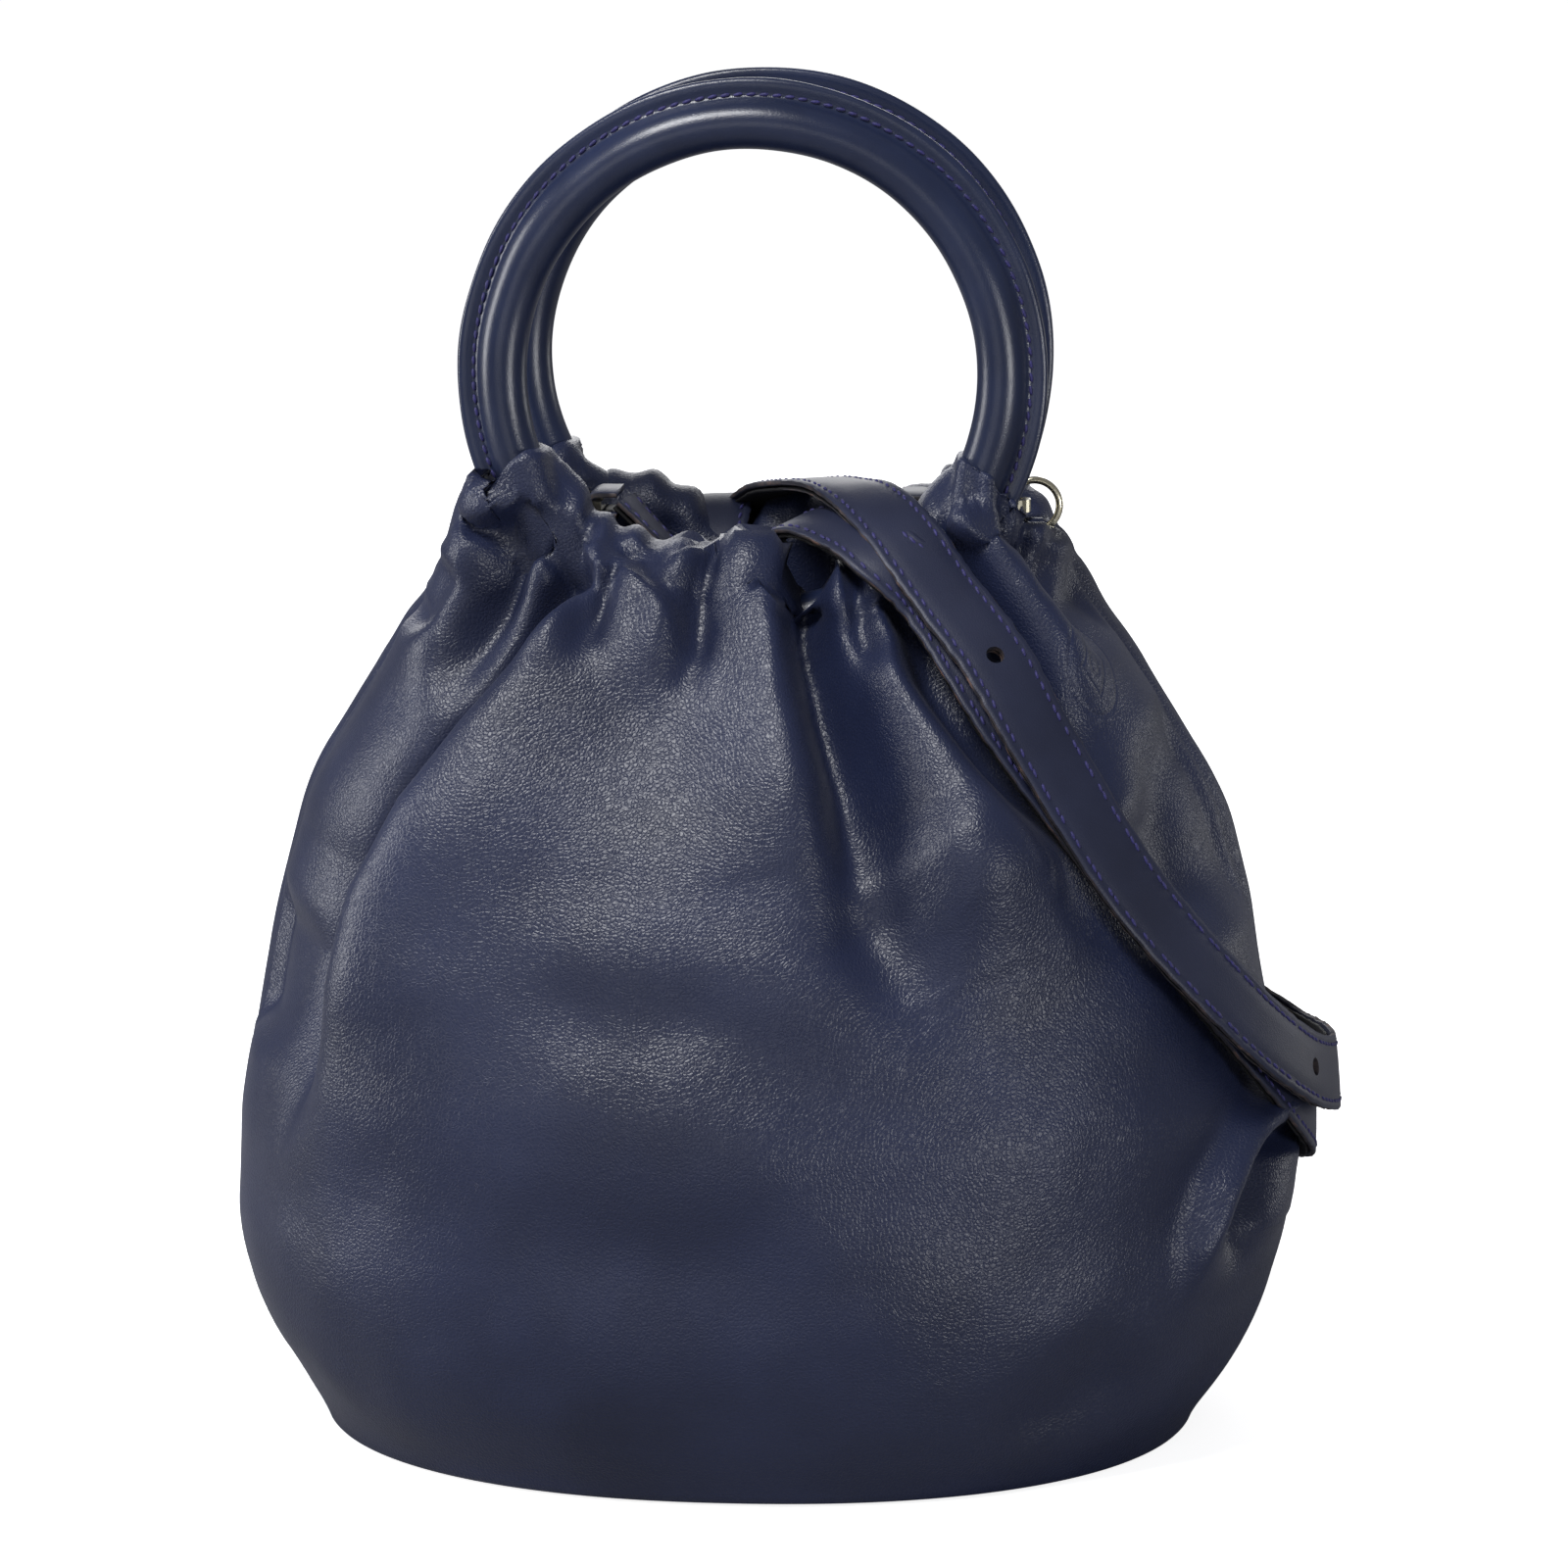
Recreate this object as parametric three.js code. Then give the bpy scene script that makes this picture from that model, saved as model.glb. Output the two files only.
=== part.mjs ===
// Slouchy leather bucket bag with two ring handles and a wound shoulder strap.
// Millimetres, +Z up, front towards -Y. The origin is the centre of the flat base.

import * as THREE from 'three';
import { LoftGeometry } from 'three/addons/geometries/LoftGeometry.js';
import { mergeVertices } from 'three/addons/utils/BufferGeometryUtils.js';

// Leather, lining and fit
const panelThickness = 1.6;
const liningThickness = 0.8;
const fitGap = 0.3;

// Body: height, half width, half depth and squareness of the plan outline
const bodyProfile = [
	[ 0, 111, 98, 2.2 ],
	[ 14, 121, 105, 2.2 ],
	[ 30, 130, 110, 2.2 ],
	[ 50, 135, 113, 2.2 ],
	[ 92, 134, 112, 2.2 ],
	[ 130, 127, 103, 2.2 ],
	[ 165, 117, 87, 2.25 ],
	[ 190, 101, 70, 2.4 ],
	[ 215, 84, 50, 2.9 ],
	[ 236, 74, 36, 3.4 ],
];
const sideTop = 230;
const seamTurn = 0.002;
const bodyColumns = 24;
const liningTop = 186;

// Base
const basePanelThickness = 2.6;
const baseBoardThickness = 1.6;
const baseHalfWidth = 109;
const baseHalfDepth = 96;
const boardInset = 2;
const baseColumns = 44;

// Ring handles: one ring in front of the mouth, one behind
const ringHeight = 272;
const ringY = 28;
const ringRadius = 62.7;
const tubeRadius = 6.3;
const coreRadius = 4;
const coverBore = 4.3;
const flangeRadius = 74;
const flangeHalfThickness = 1.5;
const slitHalfWidth = 0.2;
const ringSegments = 36;

// Gathered casing that the lower part of each ring is threaded through
const casingReach = THREE.MathUtils.degToRad( 62 );
const casingEdgeRadius = 79.2;
const panelEdgeRadius = 80.6;
const casingColumns = 16;
const casingMinDepth = 37.5;
const casingFrontRadii = [ casingEdgeRadius, 70, 60 ];
const casingBackRadii = [ 61, 76 ];
const foldShoulder = 4;
const foldCrestDepth = 33;
const foldHeight = 231;
const foldRadiusEnd = 53;
const casingInnerY = 17;

// Side rings and their leather tabs
const sideRingX = 70;
const sideRingHeight = 236.5;
const sideRingRadius = 6.4;
const sideRingWire = 1.1;
const tabWidth = 5;
const tabBottom = 212;
const tabThickness = 1.2;
const tabBore = 2;

// Snap hooks that join the strap to the side rings
const hookBore = 3.2;
const hookRadius = 5.5;
const hookHalfThickness = 1.6;
const gateFrom = THREE.MathUtils.degToRad( 33 );
const gateBevel = THREE.MathUtils.degToRad( 22 );
const hookSteps = 18;
const gateSteps = 6;
const gateTo = THREE.MathUtils.degToRad( 104 );
const gateClearance = THREE.MathUtils.degToRad( 8 );
const shankHalfWidth = 2;
const shankLength = 8;
const loopBar = 1.2;
const loopHalfWidth = 12;
const loopLength = 10;

// Shoulder strap
const strapWidth = 19;
const strapLeather = 1.5;
const strapBacking = 0.9;
const strapGap = 0.5;
const strapSteps = 150;
const strapFoldLeg = 5;
const foldBore = 1.9;

const leatherLook = { color: 0x232b45, roughness: 0.42, metalness: 0 };
const edgeLook = { color: 0x1b2136, roughness: 0.55, metalness: 0 };
const backingLook = { color: 0x0c0c10, roughness: 0.7, metalness: 0 };
const liningLook = { color: 0x20222e, roughness: 0.9, metalness: 0 };
const boardLook = { color: 0x4a4136, roughness: 0.9, metalness: 0 };
const metalLook = { color: 0xd6cfae, roughness: 0.25, metalness: 1 };

const bag = new THREE.Group();

// Adds a closed geometry to the bag as a named mesh, with its faces turned outwards.
function addPiece( name, geometry, look, parent = bag ) {

	const mesh = new THREE.Mesh( closedGeometry( geometry ), new THREE.MeshStandardMaterial( look ) );
	mesh.name = name;
	parent.add( mesh );
	return mesh;

}

function closedGeometry( geometry ) {

	const plain = new THREE.BufferGeometry();
	plain.setAttribute( 'position', geometry.getAttribute( 'position' ) );
	plain.setIndex( geometry.getIndex() );
	const merged = mergeVertices( plain, 1e-4 );
	const source = merged.getIndex().array;
	const outwards = signedVolume( merged ) > 0;
	const index = [];

	for ( let i = 0; i < source.length; i += 3 ) {

		const [ a, b, c ] = [ source[ i ], source[ i + 1 ], source[ i + 2 ] ];
		if ( a === b || b === c || c === a ) continue;
		index.push( a, outwards ? b : c, outwards ? c : b );

	}

	merged.setIndex( index );
	merged.computeVertexNormals();
	return merged;

}

function signedVolume( geometry ) {

	const position = geometry.getAttribute( 'position' );
	const index = geometry.getIndex().array;
	const corner = [ new THREE.Vector3(), new THREE.Vector3(), new THREE.Vector3() ];
	let volume = 0;

	for ( let i = 0; i < index.length; i += 3 ) {

		corner.forEach( ( point, k ) => point.fromBufferAttribute( position, index[ i + k ] ) );
		volume += corner[ 0 ].dot( corner[ 1 ].cross( corner[ 2 ] ) ) / 6;

	}

	return volume;

}

// Lofts strip sections, whose second half runs back beside the first, and closes both ends:
// each end section is followed by itself folded flat.
function loft( sections ) {

	const fold = ( section ) => section.map( ( point, i ) => {

		return i < section.length / 2 ? point : section[ section.length - 1 - i ];

	} );
	return new LoftGeometry( [ fold( sections[ 0 ] ), ...sections, fold( sections[ sections.length - 1 ] ) ] );

}

const steps = ( count ) => Array.from( { length: count + 1 }, ( _, i ) => i / count );

// Half width, half depth and squareness of the body at a height.
function bodyAt( height ) {

	const last = bodyProfile.length - 1;
	let row = 0;
	while ( row < last - 1 && height > bodyProfile[ row + 1 ][ 0 ] ) row ++;
	const [ low, high ] = [ bodyProfile[ row ], bodyProfile[ row + 1 ] ];
	const share = ( height - low[ 0 ] ) / ( high[ 0 ] - low[ 0 ] );
	return [ 1, 2, 3 ].map( ( k ) => THREE.MathUtils.lerp( low[ k ], high[ k ], share ) );

}

// Point on the body's outer surface, moved inwards by inset.
function bodyPoint( turn, height, inset = 0 ) {

	const [ halfWidth, halfDepth, squareness ] = bodyAt( height );
	const power = 2 / squareness;
	const x = Math.sign( Math.cos( turn ) ) * Math.abs( Math.cos( turn ) ) ** power;
	const y = Math.sign( Math.sin( turn ) ) * Math.abs( Math.sin( turn ) ) ** power;
	return new THREE.Vector3( ( halfWidth - inset ) * x, ( halfDepth - inset ) * y, height );

}

// How far the body's surface stands from the middle plane at a width and height.
function bodyDepth( x, height ) {

	const [ halfWidth, halfDepth, squareness ] = bodyAt( height );
	const share = Math.min( Math.abs( x ) / halfWidth, 1 );
	return halfDepth * ( 1 - share ** squareness ) ** ( 1 / squareness );

}

// The panel's top edge: an arc round the ring handle, level at the sides.
function rimHeight( turn ) {

	let low = 150;
	let high = sideTop;
	const clearOfRing = ( height ) => {

		return Math.hypot( bodyPoint( turn, height ).x, ringHeight - height ) >= panelEdgeRadius;

	};

	if ( clearOfRing( high ) ) return high;

	for ( let i = 0; i < 30; i ++ ) {

		const middle = ( low + high ) / 2;
		if ( clearOfRing( middle ) ) low = middle;
		else high = middle;

	}

	return low;

}

// A wall that follows the body from one side seam to the other.
function wallGeometry( firstTurn, bottom, topAt, outerInset, thickness ) {

	const sections = steps( bodyColumns ).map( ( share ) => {

		const turn = firstTurn + THREE.MathUtils.lerp( seamTurn, Math.PI - seamTurn, share );
		const top = topAt( turn );
		const levels = bodyProfile.map( ( [ height ] ) => THREE.MathUtils.clamp( height, bottom, top ) );
		const heights = [ bottom, ...levels.slice( 1 ) ];
		const outer = heights.map( ( height ) => bodyPoint( turn, height, outerInset ) );
		const inner = heights.map( ( height ) => bodyPoint( turn, height, outerInset + thickness ) );
		return [ ...outer, ...inner.reverse() ];

	} );

	return loft( sections );

}

function addBody() {

	const bottom = basePanelThickness + fitGap;
	const liningBottom = bottom + baseBoardThickness + fitGap;
	const liningInset = panelThickness + fitGap;
	const walls = [ [ 'front', Math.PI ], [ 'back', 0 ] ];

	for ( const [ side, firstTurn ] of walls ) {

		const panel = wallGeometry( firstTurn, bottom, rimHeight, 0, panelThickness );
		const lining = wallGeometry( firstTurn, liningBottom, () => liningTop, liningInset, liningThickness );
		addPiece( `${ side }_panel`, panel, leatherLook );
		addPiece( `lining_${ side }`, lining, liningLook );

	}

}

// A flat plate with the outline of the base.
function baseGeometry( inset, bottom, thickness ) {

	const power = 2 / bodyProfile[ 0 ][ 3 ];
	const outline = steps( baseColumns ).slice( 1 ).map( ( share ) => {

		const turn = share * Math.PI * 2;
		const x = Math.sign( Math.cos( turn ) ) * Math.abs( Math.cos( turn ) ) ** power;
		const y = Math.sign( Math.sin( turn ) ) * Math.abs( Math.sin( turn ) ) ** power;
		return new THREE.Vector2( ( baseHalfWidth - inset ) * x, ( baseHalfDepth - inset ) * y );

	} );
	const plate = new THREE.ExtrudeGeometry( new THREE.Shape( outline ), {
		depth: thickness,
		bevelEnabled: false,
	} );
	return plate.translate( 0, 0, bottom );

}

function addBase() {

	const boardBottom = basePanelThickness + fitGap;
	const liningBottom = boardBottom + baseBoardThickness + fitGap;
	addPiece( 'base_panel', baseGeometry( 0, 0, basePanelThickness ), edgeLook );
	addPiece( 'base_board', baseGeometry( boardInset, boardBottom, baseBoardThickness ), boardLook );
	addPiece( 'lining_base', baseGeometry( boardInset, liningBottom, liningThickness ), liningLook );

}

// Leather wrapped round the core; its two edges meet in a flange that leaves a fine slit.
function coverProfile() {

	const flangeTurn = Math.asin( flangeHalfThickness / tubeRadius );
	const slitTurn = Math.asin( slitHalfWidth / coverBore );
	const outer = steps( 12 ).map( ( share ) => {

		const turn = THREE.MathUtils.lerp( flangeTurn, Math.PI * 2 - flangeTurn, share );
		return new THREE.Vector2( ringRadius + tubeRadius * Math.cos( turn ), tubeRadius * Math.sin( turn ) );

	} );
	const inner = steps( 8 ).map( ( share ) => {

		const turn = THREE.MathUtils.lerp( Math.PI * 2 - slitTurn, slitTurn, share );
		return new THREE.Vector2( ringRadius + coverBore * Math.cos( turn ), coverBore * Math.sin( turn ) );

	} );
	return [
		new THREE.Vector2( flangeRadius, slitHalfWidth ),
		new THREE.Vector2( flangeRadius, flangeHalfThickness ),
		...outer,
		new THREE.Vector2( flangeRadius, - flangeHalfThickness ),
		new THREE.Vector2( flangeRadius, - slitHalfWidth ),
		...inner,
		new THREE.Vector2( flangeRadius, slitHalfWidth ),
	];

}

// Turns a point given round the ring's centre into the bag's frame.
function ringPoint( turn, radius, y ) {

	return new THREE.Vector3( radius * Math.sin( turn ), y, ringHeight - radius * Math.cos( turn ) );

}

// Section of the casing at an angle round the ring: distance from the ring's centre and depth.
function casingSection( turn, side ) {

	const foldRadius = Math.min( ( ringHeight - foldHeight ) / Math.cos( turn ), foldRadiusEnd );
	const depthAt = ( radius ) => {

		const point = ringPoint( turn, radius, 0 );
		return Math.max( bodyDepth( point.x, point.z ), casingMinDepth );

	};

	const wall = panelThickness;
	const shoulderRadius = foldRadius + foldShoulder;
	const outer = [
		...casingFrontRadii.map( ( radius ) => [ radius, depthAt( radius ) ] ),
		[ shoulderRadius, Math.max( depthAt( shoulderRadius ), casingMinDepth + 1 ) ],
		[ foldRadius, foldCrestDepth ],
		[ foldRadius + wall, casingInnerY + foldShoulder ],
		...casingBackRadii.map( ( radius ) => [ radius, casingInnerY ] ),
	];
	const inner = outer.map( ( [ radius, depth ], i ) => {

		if ( i <= casingFrontRadii.length ) return [ radius, depth - wall ];
		if ( i <= casingFrontRadii.length + 2 ) return [ radius + wall, depth ];
		return [ radius, depth + wall ];

	} );
	return [ ...outer, ...inner.reverse() ].map( ( [ radius, depth ] ) => ringPoint( turn, radius, side * depth ) );

}

function addHandle( name, side ) {

	const cover = new THREE.LatheGeometry( coverProfile(), ringSegments );
	const core = new THREE.LatheGeometry( corePoints(), ringSegments );
	const handle = new THREE.Group();
	handle.position.set( 0, side * ringY, ringHeight );
	addPiece( `${ name }_ring_cover`, cover, leatherLook, handle );
	addPiece( `${ name }_ring_core`, core, boardLook, handle );
	bag.add( handle );

	const turns = steps( casingColumns ).map( ( share ) => THREE.MathUtils.lerp( - casingReach, casingReach, share ) );
	addPiece( `${ name }_casing`, loft( turns.map( ( turn ) => casingSection( turn, side ) ) ), leatherLook );

}

function corePoints() {

	return steps( 6 ).map( ( share ) => {

		const turn = share * Math.PI * 2;
		return new THREE.Vector2( ringRadius + coreRadius * Math.cos( turn ), coreRadius * Math.sin( turn ) );

	} );

}

// A strip folded over a round bar: its section runs down one leg, over the bar and down the other.
function foldedStrip( bore, thickness, legLength, width ) {

	const arc = ( radius, from, to ) => steps( 6 ).map( ( share ) => {

		const turn = THREE.MathUtils.lerp( from, to, share );
		return [ radius * Math.cos( turn ), radius * Math.sin( turn ) ];

	} );
	const outer = bore + thickness;
	const outline = [
		[ outer, - legLength ], ...arc( outer, 0, Math.PI ), [ - outer, - legLength ],
		[ - bore, - legLength ], ...arc( bore, Math.PI, 0 ), [ bore, - legLength ],
	];
	const sectionAt = ( x ) => outline.map( ( [ y, z ] ) => new THREE.Vector3( x, y, z ) );
	return loft( [ sectionAt( - width / 2 ), sectionAt( width / 2 ) ] );

}

function addSideRing( name, side ) {

	const ring = new THREE.TorusGeometry( sideRingRadius, sideRingWire, 6, 20 );
	const ringMesh = addPiece( `${ name }_side_ring`, ring, metalLook );
	ringMesh.position.set( side * sideRingX, 0, sideRingHeight );
	ringMesh.rotation.x = Math.PI / 2;

	const barHeight = sideRingHeight - sideRingRadius;
	const tab = foldedStrip( tabBore, tabThickness, barHeight - tabBottom, tabWidth );
	addPiece( `${ name }_ring_tab`, tab, leatherLook ).position.set( side * sideRingX, 0, barHeight );

}

// An annular sector in the XY plane, as its outer and inner arcs. The inner arc may start or stop early.
function sectorPoints( inner, outer, from, to, count, innerFrom = from, innerTo = to ) {

	const arc = ( radius, start, end ) => steps( count ).map( ( share ) => {

		const turn = THREE.MathUtils.lerp( start, end, share );
		return new THREE.Vector2( radius * Math.cos( turn ), radius * Math.sin( turn ) );

	} );
	return [ arc( outer, from, to ), arc( inner, innerTo, innerFrom ) ];

}

function flatPlate( points, halfThickness, holes = [] ) {

	const shape = new THREE.Shape( points );
	shape.holes.push( ...holes.map( ( hole ) => new THREE.Path( hole ) ) );
	const plate = new THREE.ExtrudeGeometry( shape, { depth: halfThickness * 2, bevelEnabled: false } );
	return plate.translate( 0, 0, - halfThickness );

}

// Bow round the side ring's wire, with a straight shank towards the strap.
function hookGeometry() {

	const end = Math.PI * 2 + gateFrom - gateClearance;
	const start = gateTo + gateClearance;
	const [ outerArc, innerArc ] = sectorPoints( hookBore, hookRadius, start, end, hookSteps, start, end - gateBevel );
	const shankTurn = Math.asin( shankHalfWidth / hookRadius );
	const clearOfShank = outerArc.filter( ( point ) => {

		return point.x > - hookRadius * Math.cos( shankTurn ) || Math.abs( point.y ) > shankHalfWidth;

	} );
	const above = clearOfShank.filter( ( point ) => point.x < 0 && point.y > 0 );
	const below = clearOfShank.filter( ( point ) => ! above.includes( point ) );
	const shankEnd = - hookRadius - shankLength;
	const shank = [
		new THREE.Vector2( - hookRadius * Math.cos( shankTurn ), shankHalfWidth ),
		new THREE.Vector2( shankEnd, shankHalfWidth ),
		new THREE.Vector2( shankEnd, - shankHalfWidth ),
		new THREE.Vector2( - hookRadius * Math.cos( shankTurn ), - shankHalfWidth ),
	];
	return flatPlate( [ ...above, ...shank, ...below, ...innerArc ], hookHalfThickness );

}

function gateGeometry() {

	const [ outerArc, innerArc ] = sectorPoints( hookBore, hookRadius, gateFrom, gateTo, gateSteps, gateFrom - gateBevel );
	return flatPlate( [ ...outerArc, ...innerArc ], hookHalfThickness );

}

// Rectangular loop that the strap's end folds round; one long side meets the hook's shank.
function loopGeometry() {

	const bar = loopBar * 2;
	const outline = ( inset ) => [
		new THREE.Vector2( - inset, loopHalfWidth - inset ),
		new THREE.Vector2( - inset, - loopHalfWidth + inset ),
		new THREE.Vector2( - loopLength + inset, - loopHalfWidth + inset ),
		new THREE.Vector2( - loopLength + inset, loopHalfWidth - inset ),
	];
	return flatPlate( outline( 0 ), loopBar, [ outline( bar ).reverse() ] );

}

function addHook( name, side ) {

	const group = new THREE.Group();
	group.position.set( side * ( sideRingX - sideRingRadius ), 0, sideRingHeight );
	group.rotation.z = side > 0 ? 0 : Math.PI;
	bag.add( group );
	addPiece( `${ name }_hook`, hookGeometry(), metalLook, group );
	addPiece( `${ name }_hook_gate`, gateGeometry(), metalLook, group );

	const shankEnd = - hookRadius - shankLength - fitGap;
	const loopMesh = addPiece( `${ name }_strap_loop`, loopGeometry(), metalLook, group );
	loopMesh.position.x = shankEnd;

	const barX = shankEnd - loopLength + loopBar;
	const fold = foldedStrip( foldBore, strapLeather, strapFoldLeg, strapWidth );
	const legsTowardsStrap = new THREE.Matrix4().makeBasis(
		new THREE.Vector3( 0, 1, 0 ), new THREE.Vector3( 0, 0, 1 ), new THREE.Vector3( 1, 0, 0 ),
	);
	const foldMesh = addPiece( `${ name }_strap_fold`, fold, leatherLook, group );
	foldMesh.position.x = barX;
	foldMesh.quaternion.setFromRotationMatrix( legsTowardsStrap );

}

// A station of the strap lying off the body's surface, facing straight out of it.
function onBody( degrees, height, lift ) {

	const turn = THREE.MathUtils.degToRad( degrees );
	const step = 0.01;
	const at = bodyPoint( turn, height );
	const aside = bodyPoint( turn + step, height ).sub( at );
	const up = bodyPoint( turn, height + step ).sub( at );
	const out = aside.cross( up ).normalize();
	return { at: at.addScaledVector( out, lift ), out };

}

const freeStation = ( at, out ) => ( { at: new THREE.Vector3( ...at ), out: new THREE.Vector3( ...out ) } );

// The strap's middle line with the side that faces out. It starts at the left side ring, crosses
// the front rim, goes round the right side and up the back, and does the same once more on top.
const strapRoute = [
	freeStation( [ - 35.3, 0, 236.5 ], [ 0, 0, 1 ] ),
	freeStation( [ - 24, - 1, 233 ], [ 0.1, 0, 1 ] ),
	freeStation( [ - 10, - 4, 233 ], [ - 0.1, - 0.1, 1 ] ),
	freeStation( [ 4, - 12, 238 ], [ - 0.3, 0, 0.95 ] ),
	freeStation( [ 16, - 23, 241 ], [ 0, - 0.15, 1 ] ),
	freeStation( [ 26, - 37, 238 ], [ 0.05, - 0.6, 0.8 ] ),
	freeStation( [ 35, - 50, 223 ], [ 0.25, - 0.85, 0.5 ] ),
	onBody( - 60, 196, 4.4 ),
	onBody( - 48, 155, 4.4 ),
	onBody( - 29, 118, 4.4 ),
	onBody( - 9, 87, 4.4 ),
	onBody( 10, 68, 4.5 ),
	onBody( 28, 62, 4.5 ),
	onBody( 46, 72, 4 ),
	onBody( 60, 98, 4 ),
	onBody( 70, 136, 4 ),
	onBody( 77, 176, 4 ),
	onBody( 82, 204, 4.5 ),
	freeStation( [ 8, 51, 226 ], [ 0, 0.8, 0.6 ] ),
	freeStation( [ 8, 40, 239 ], [ 0, 0.5, 0.86 ] ),
	freeStation( [ 10, 24, 245 ], [ 0, 0.05, 1 ] ),
	freeStation( [ 14, 6, 246 ], [ 0, 0, 1 ] ),
	freeStation( [ 19, - 9, 248 ], [ 0, 0, 1 ] ),
	freeStation( [ 26, - 24, 248 ], [ 0, - 0.3, 0.95 ] ),
	freeStation( [ 34, - 41, 241 ], [ 0.1, - 0.65, 0.75 ] ),
	freeStation( [ 42, - 54, 226 ], [ 0.3, - 0.85, 0.45 ] ),
	onBody( - 57, 198, 9.5 ),
	onBody( - 45, 157, 10.5 ),
	onBody( - 26, 121, 12 ),
	onBody( - 8, 94, 13 ),
	onBody( 7, 84, 13 ),
	onBody( 24, 84, 10 ),
	onBody( 42, 94, 9 ),
	onBody( 58, 118, 9 ),
	onBody( 74, 150, 9.5 ),
	onBody( 88, 180, 9.5 ),
	onBody( 98, 206, 6.5 ),
	freeStation( [ - 14, 51, 229 ], [ 0, 0.8, 0.6 ] ),
	freeStation( [ - 15, 39, 240 ], [ 0, 0.45, 0.9 ] ),
	freeStation( [ - 15, 27, 243 ], [ 0, - 0.2, 1 ] ),
	freeStation( [ - 14, 17, 234 ], [ 0, - 0.9, 0.4 ] ),
	freeStation( [ - 12, 13, 220 ], [ 0.15, - 1, 0.1 ] ),
	freeStation( [ - 6, 9, 208 ], [ 0.4, - 0.8, 0.4 ] ),
	freeStation( [ 3, 5, 202 ], [ 0.3, - 0.4, 0.85 ] ),
	freeStation( [ 14, 1, 202 ], [ - 0.15, - 0.1, 1 ] ),
	freeStation( [ 23, 0, 210 ], [ - 0.65, 0, 0.75 ] ),
	freeStation( [ 28, 0, 222 ], [ - 0.85, 0, 0.5 ] ),
	freeStation( [ 31, 0, 232 ], [ - 0.7, 0, 0.7 ] ),
	freeStation( [ 35.6, 0, 236.5 ], [ - 0.2, 0, 1 ] ),
];

// A flat band along the strap's route, from one distance off its middle line to another.
function bandGeometry( nearLift, farLift ) {

	const curve = new THREE.CatmullRomCurve3( strapRoute.map( ( station ) => station.at ), false, 'centripetal' );
	const outCurve = new THREE.CatmullRomCurve3( strapRoute.map( ( station ) => station.out ), false, 'centripetal' );
	const sections = steps( strapSteps ).map( ( share ) => {

		const middle = curve.getPoint( share );
		const along = curve.getTangent( share );
		const out = outCurve.getPoint( share );
		out.addScaledVector( along, - out.dot( along ) ).normalize();
		const across = new THREE.Vector3().crossVectors( along, out ).multiplyScalar( strapWidth / 2 );
		return [ [ 1, farLift ], [ - 1, farLift ], [ - 1, nearLift ], [ 1, nearLift ] ].map(
			( [ side, lift ] ) => middle.clone().addScaledVector( across, side ).addScaledVector( out, lift ),
		);

	} );
	return loft( sections );

}

function addStrap() {

	const half = strapGap / 2;
	addPiece( 'strap', bandGeometry( half, half + strapLeather ), leatherLook );
	addPiece( 'strap_backing', bandGeometry( - half, - half - strapBacking ), backingLook );

}

addBase();
addBody();
addHandle( 'front', - 1 );
addHandle( 'back', 1 );

for ( const [ name, side ] of [ [ 'left', - 1 ], [ 'right', 1 ] ] ) {

	addSideRing( name, side );
	addHook( name, side );

}

addStrap();

export default bag;
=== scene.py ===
import math
import bmesh
import bpy
import numpy as np
from mathutils import Matrix, Vector, noise


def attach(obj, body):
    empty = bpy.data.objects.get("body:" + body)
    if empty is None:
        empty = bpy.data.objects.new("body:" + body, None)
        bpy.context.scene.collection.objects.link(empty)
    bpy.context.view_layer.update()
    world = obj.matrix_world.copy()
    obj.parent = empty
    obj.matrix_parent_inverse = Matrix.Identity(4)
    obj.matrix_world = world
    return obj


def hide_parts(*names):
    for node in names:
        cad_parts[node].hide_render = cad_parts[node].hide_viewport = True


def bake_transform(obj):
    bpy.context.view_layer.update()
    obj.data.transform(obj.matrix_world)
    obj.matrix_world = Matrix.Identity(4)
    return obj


# A slouchy navy leather bucket bag. Sizes are in millimetres and become metres when a mesh is made.
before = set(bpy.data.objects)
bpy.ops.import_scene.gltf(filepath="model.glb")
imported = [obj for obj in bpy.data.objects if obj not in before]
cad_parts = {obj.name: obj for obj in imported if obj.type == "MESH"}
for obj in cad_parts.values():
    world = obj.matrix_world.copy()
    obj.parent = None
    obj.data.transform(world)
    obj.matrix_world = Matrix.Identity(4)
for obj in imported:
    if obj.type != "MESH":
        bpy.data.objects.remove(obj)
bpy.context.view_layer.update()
mm = 0.001
print("frame loaded")

# Camera, floor and light
studio = {"turn": 4.3, "rise": 9.8, "distance": 1.5, "aim": (0.006, 0, 0.1635), "fieldOfView": 15.35,
          "fill": 0.2}
softboxes = {
    "keySoftbox": ((-0.46, -0.86, 1.46), (0.5, 0.42), 22),
    "leftSoftbox": ((-1.5, -0.2, 0.5), (0.5, 1.0), 15),
    "rightSoftbox": ((1.4, 1.0, 0.2), (0.3, 0.5), 1.8),
    "lowSoftbox": ((1.3, -1.4, 0.14), (0.5, 0.3), 10),
    "frontSoftbox": ((-0.5, -2.2, 0.4), (1.2, 0.7), 4),
    "backSoftbox": ((-0.3, 2.0, 0.75), (1.2, 0.8), 9),
}


def setCamera():
    turn, rise = math.radians(studio["turn"]), math.radians(studio["rise"])
    away = Vector((math.sin(turn) * math.cos(rise), -math.cos(turn) * math.cos(rise), math.sin(rise)))
    data = bpy.data.cameras.new("camera")
    data.sensor_width = 36
    data.angle = math.radians(studio["fieldOfView"])
    data.clip_end = 100
    camera = bpy.data.objects.new("camera", data)
    camera.location = Vector(studio["aim"]) + away * studio["distance"]
    camera.rotation_euler = (-away).to_track_quat("-Z", "Y").to_euler()
    bpy.context.collection.objects.link(camera)
    bpy.context.scene.camera = camera


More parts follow.
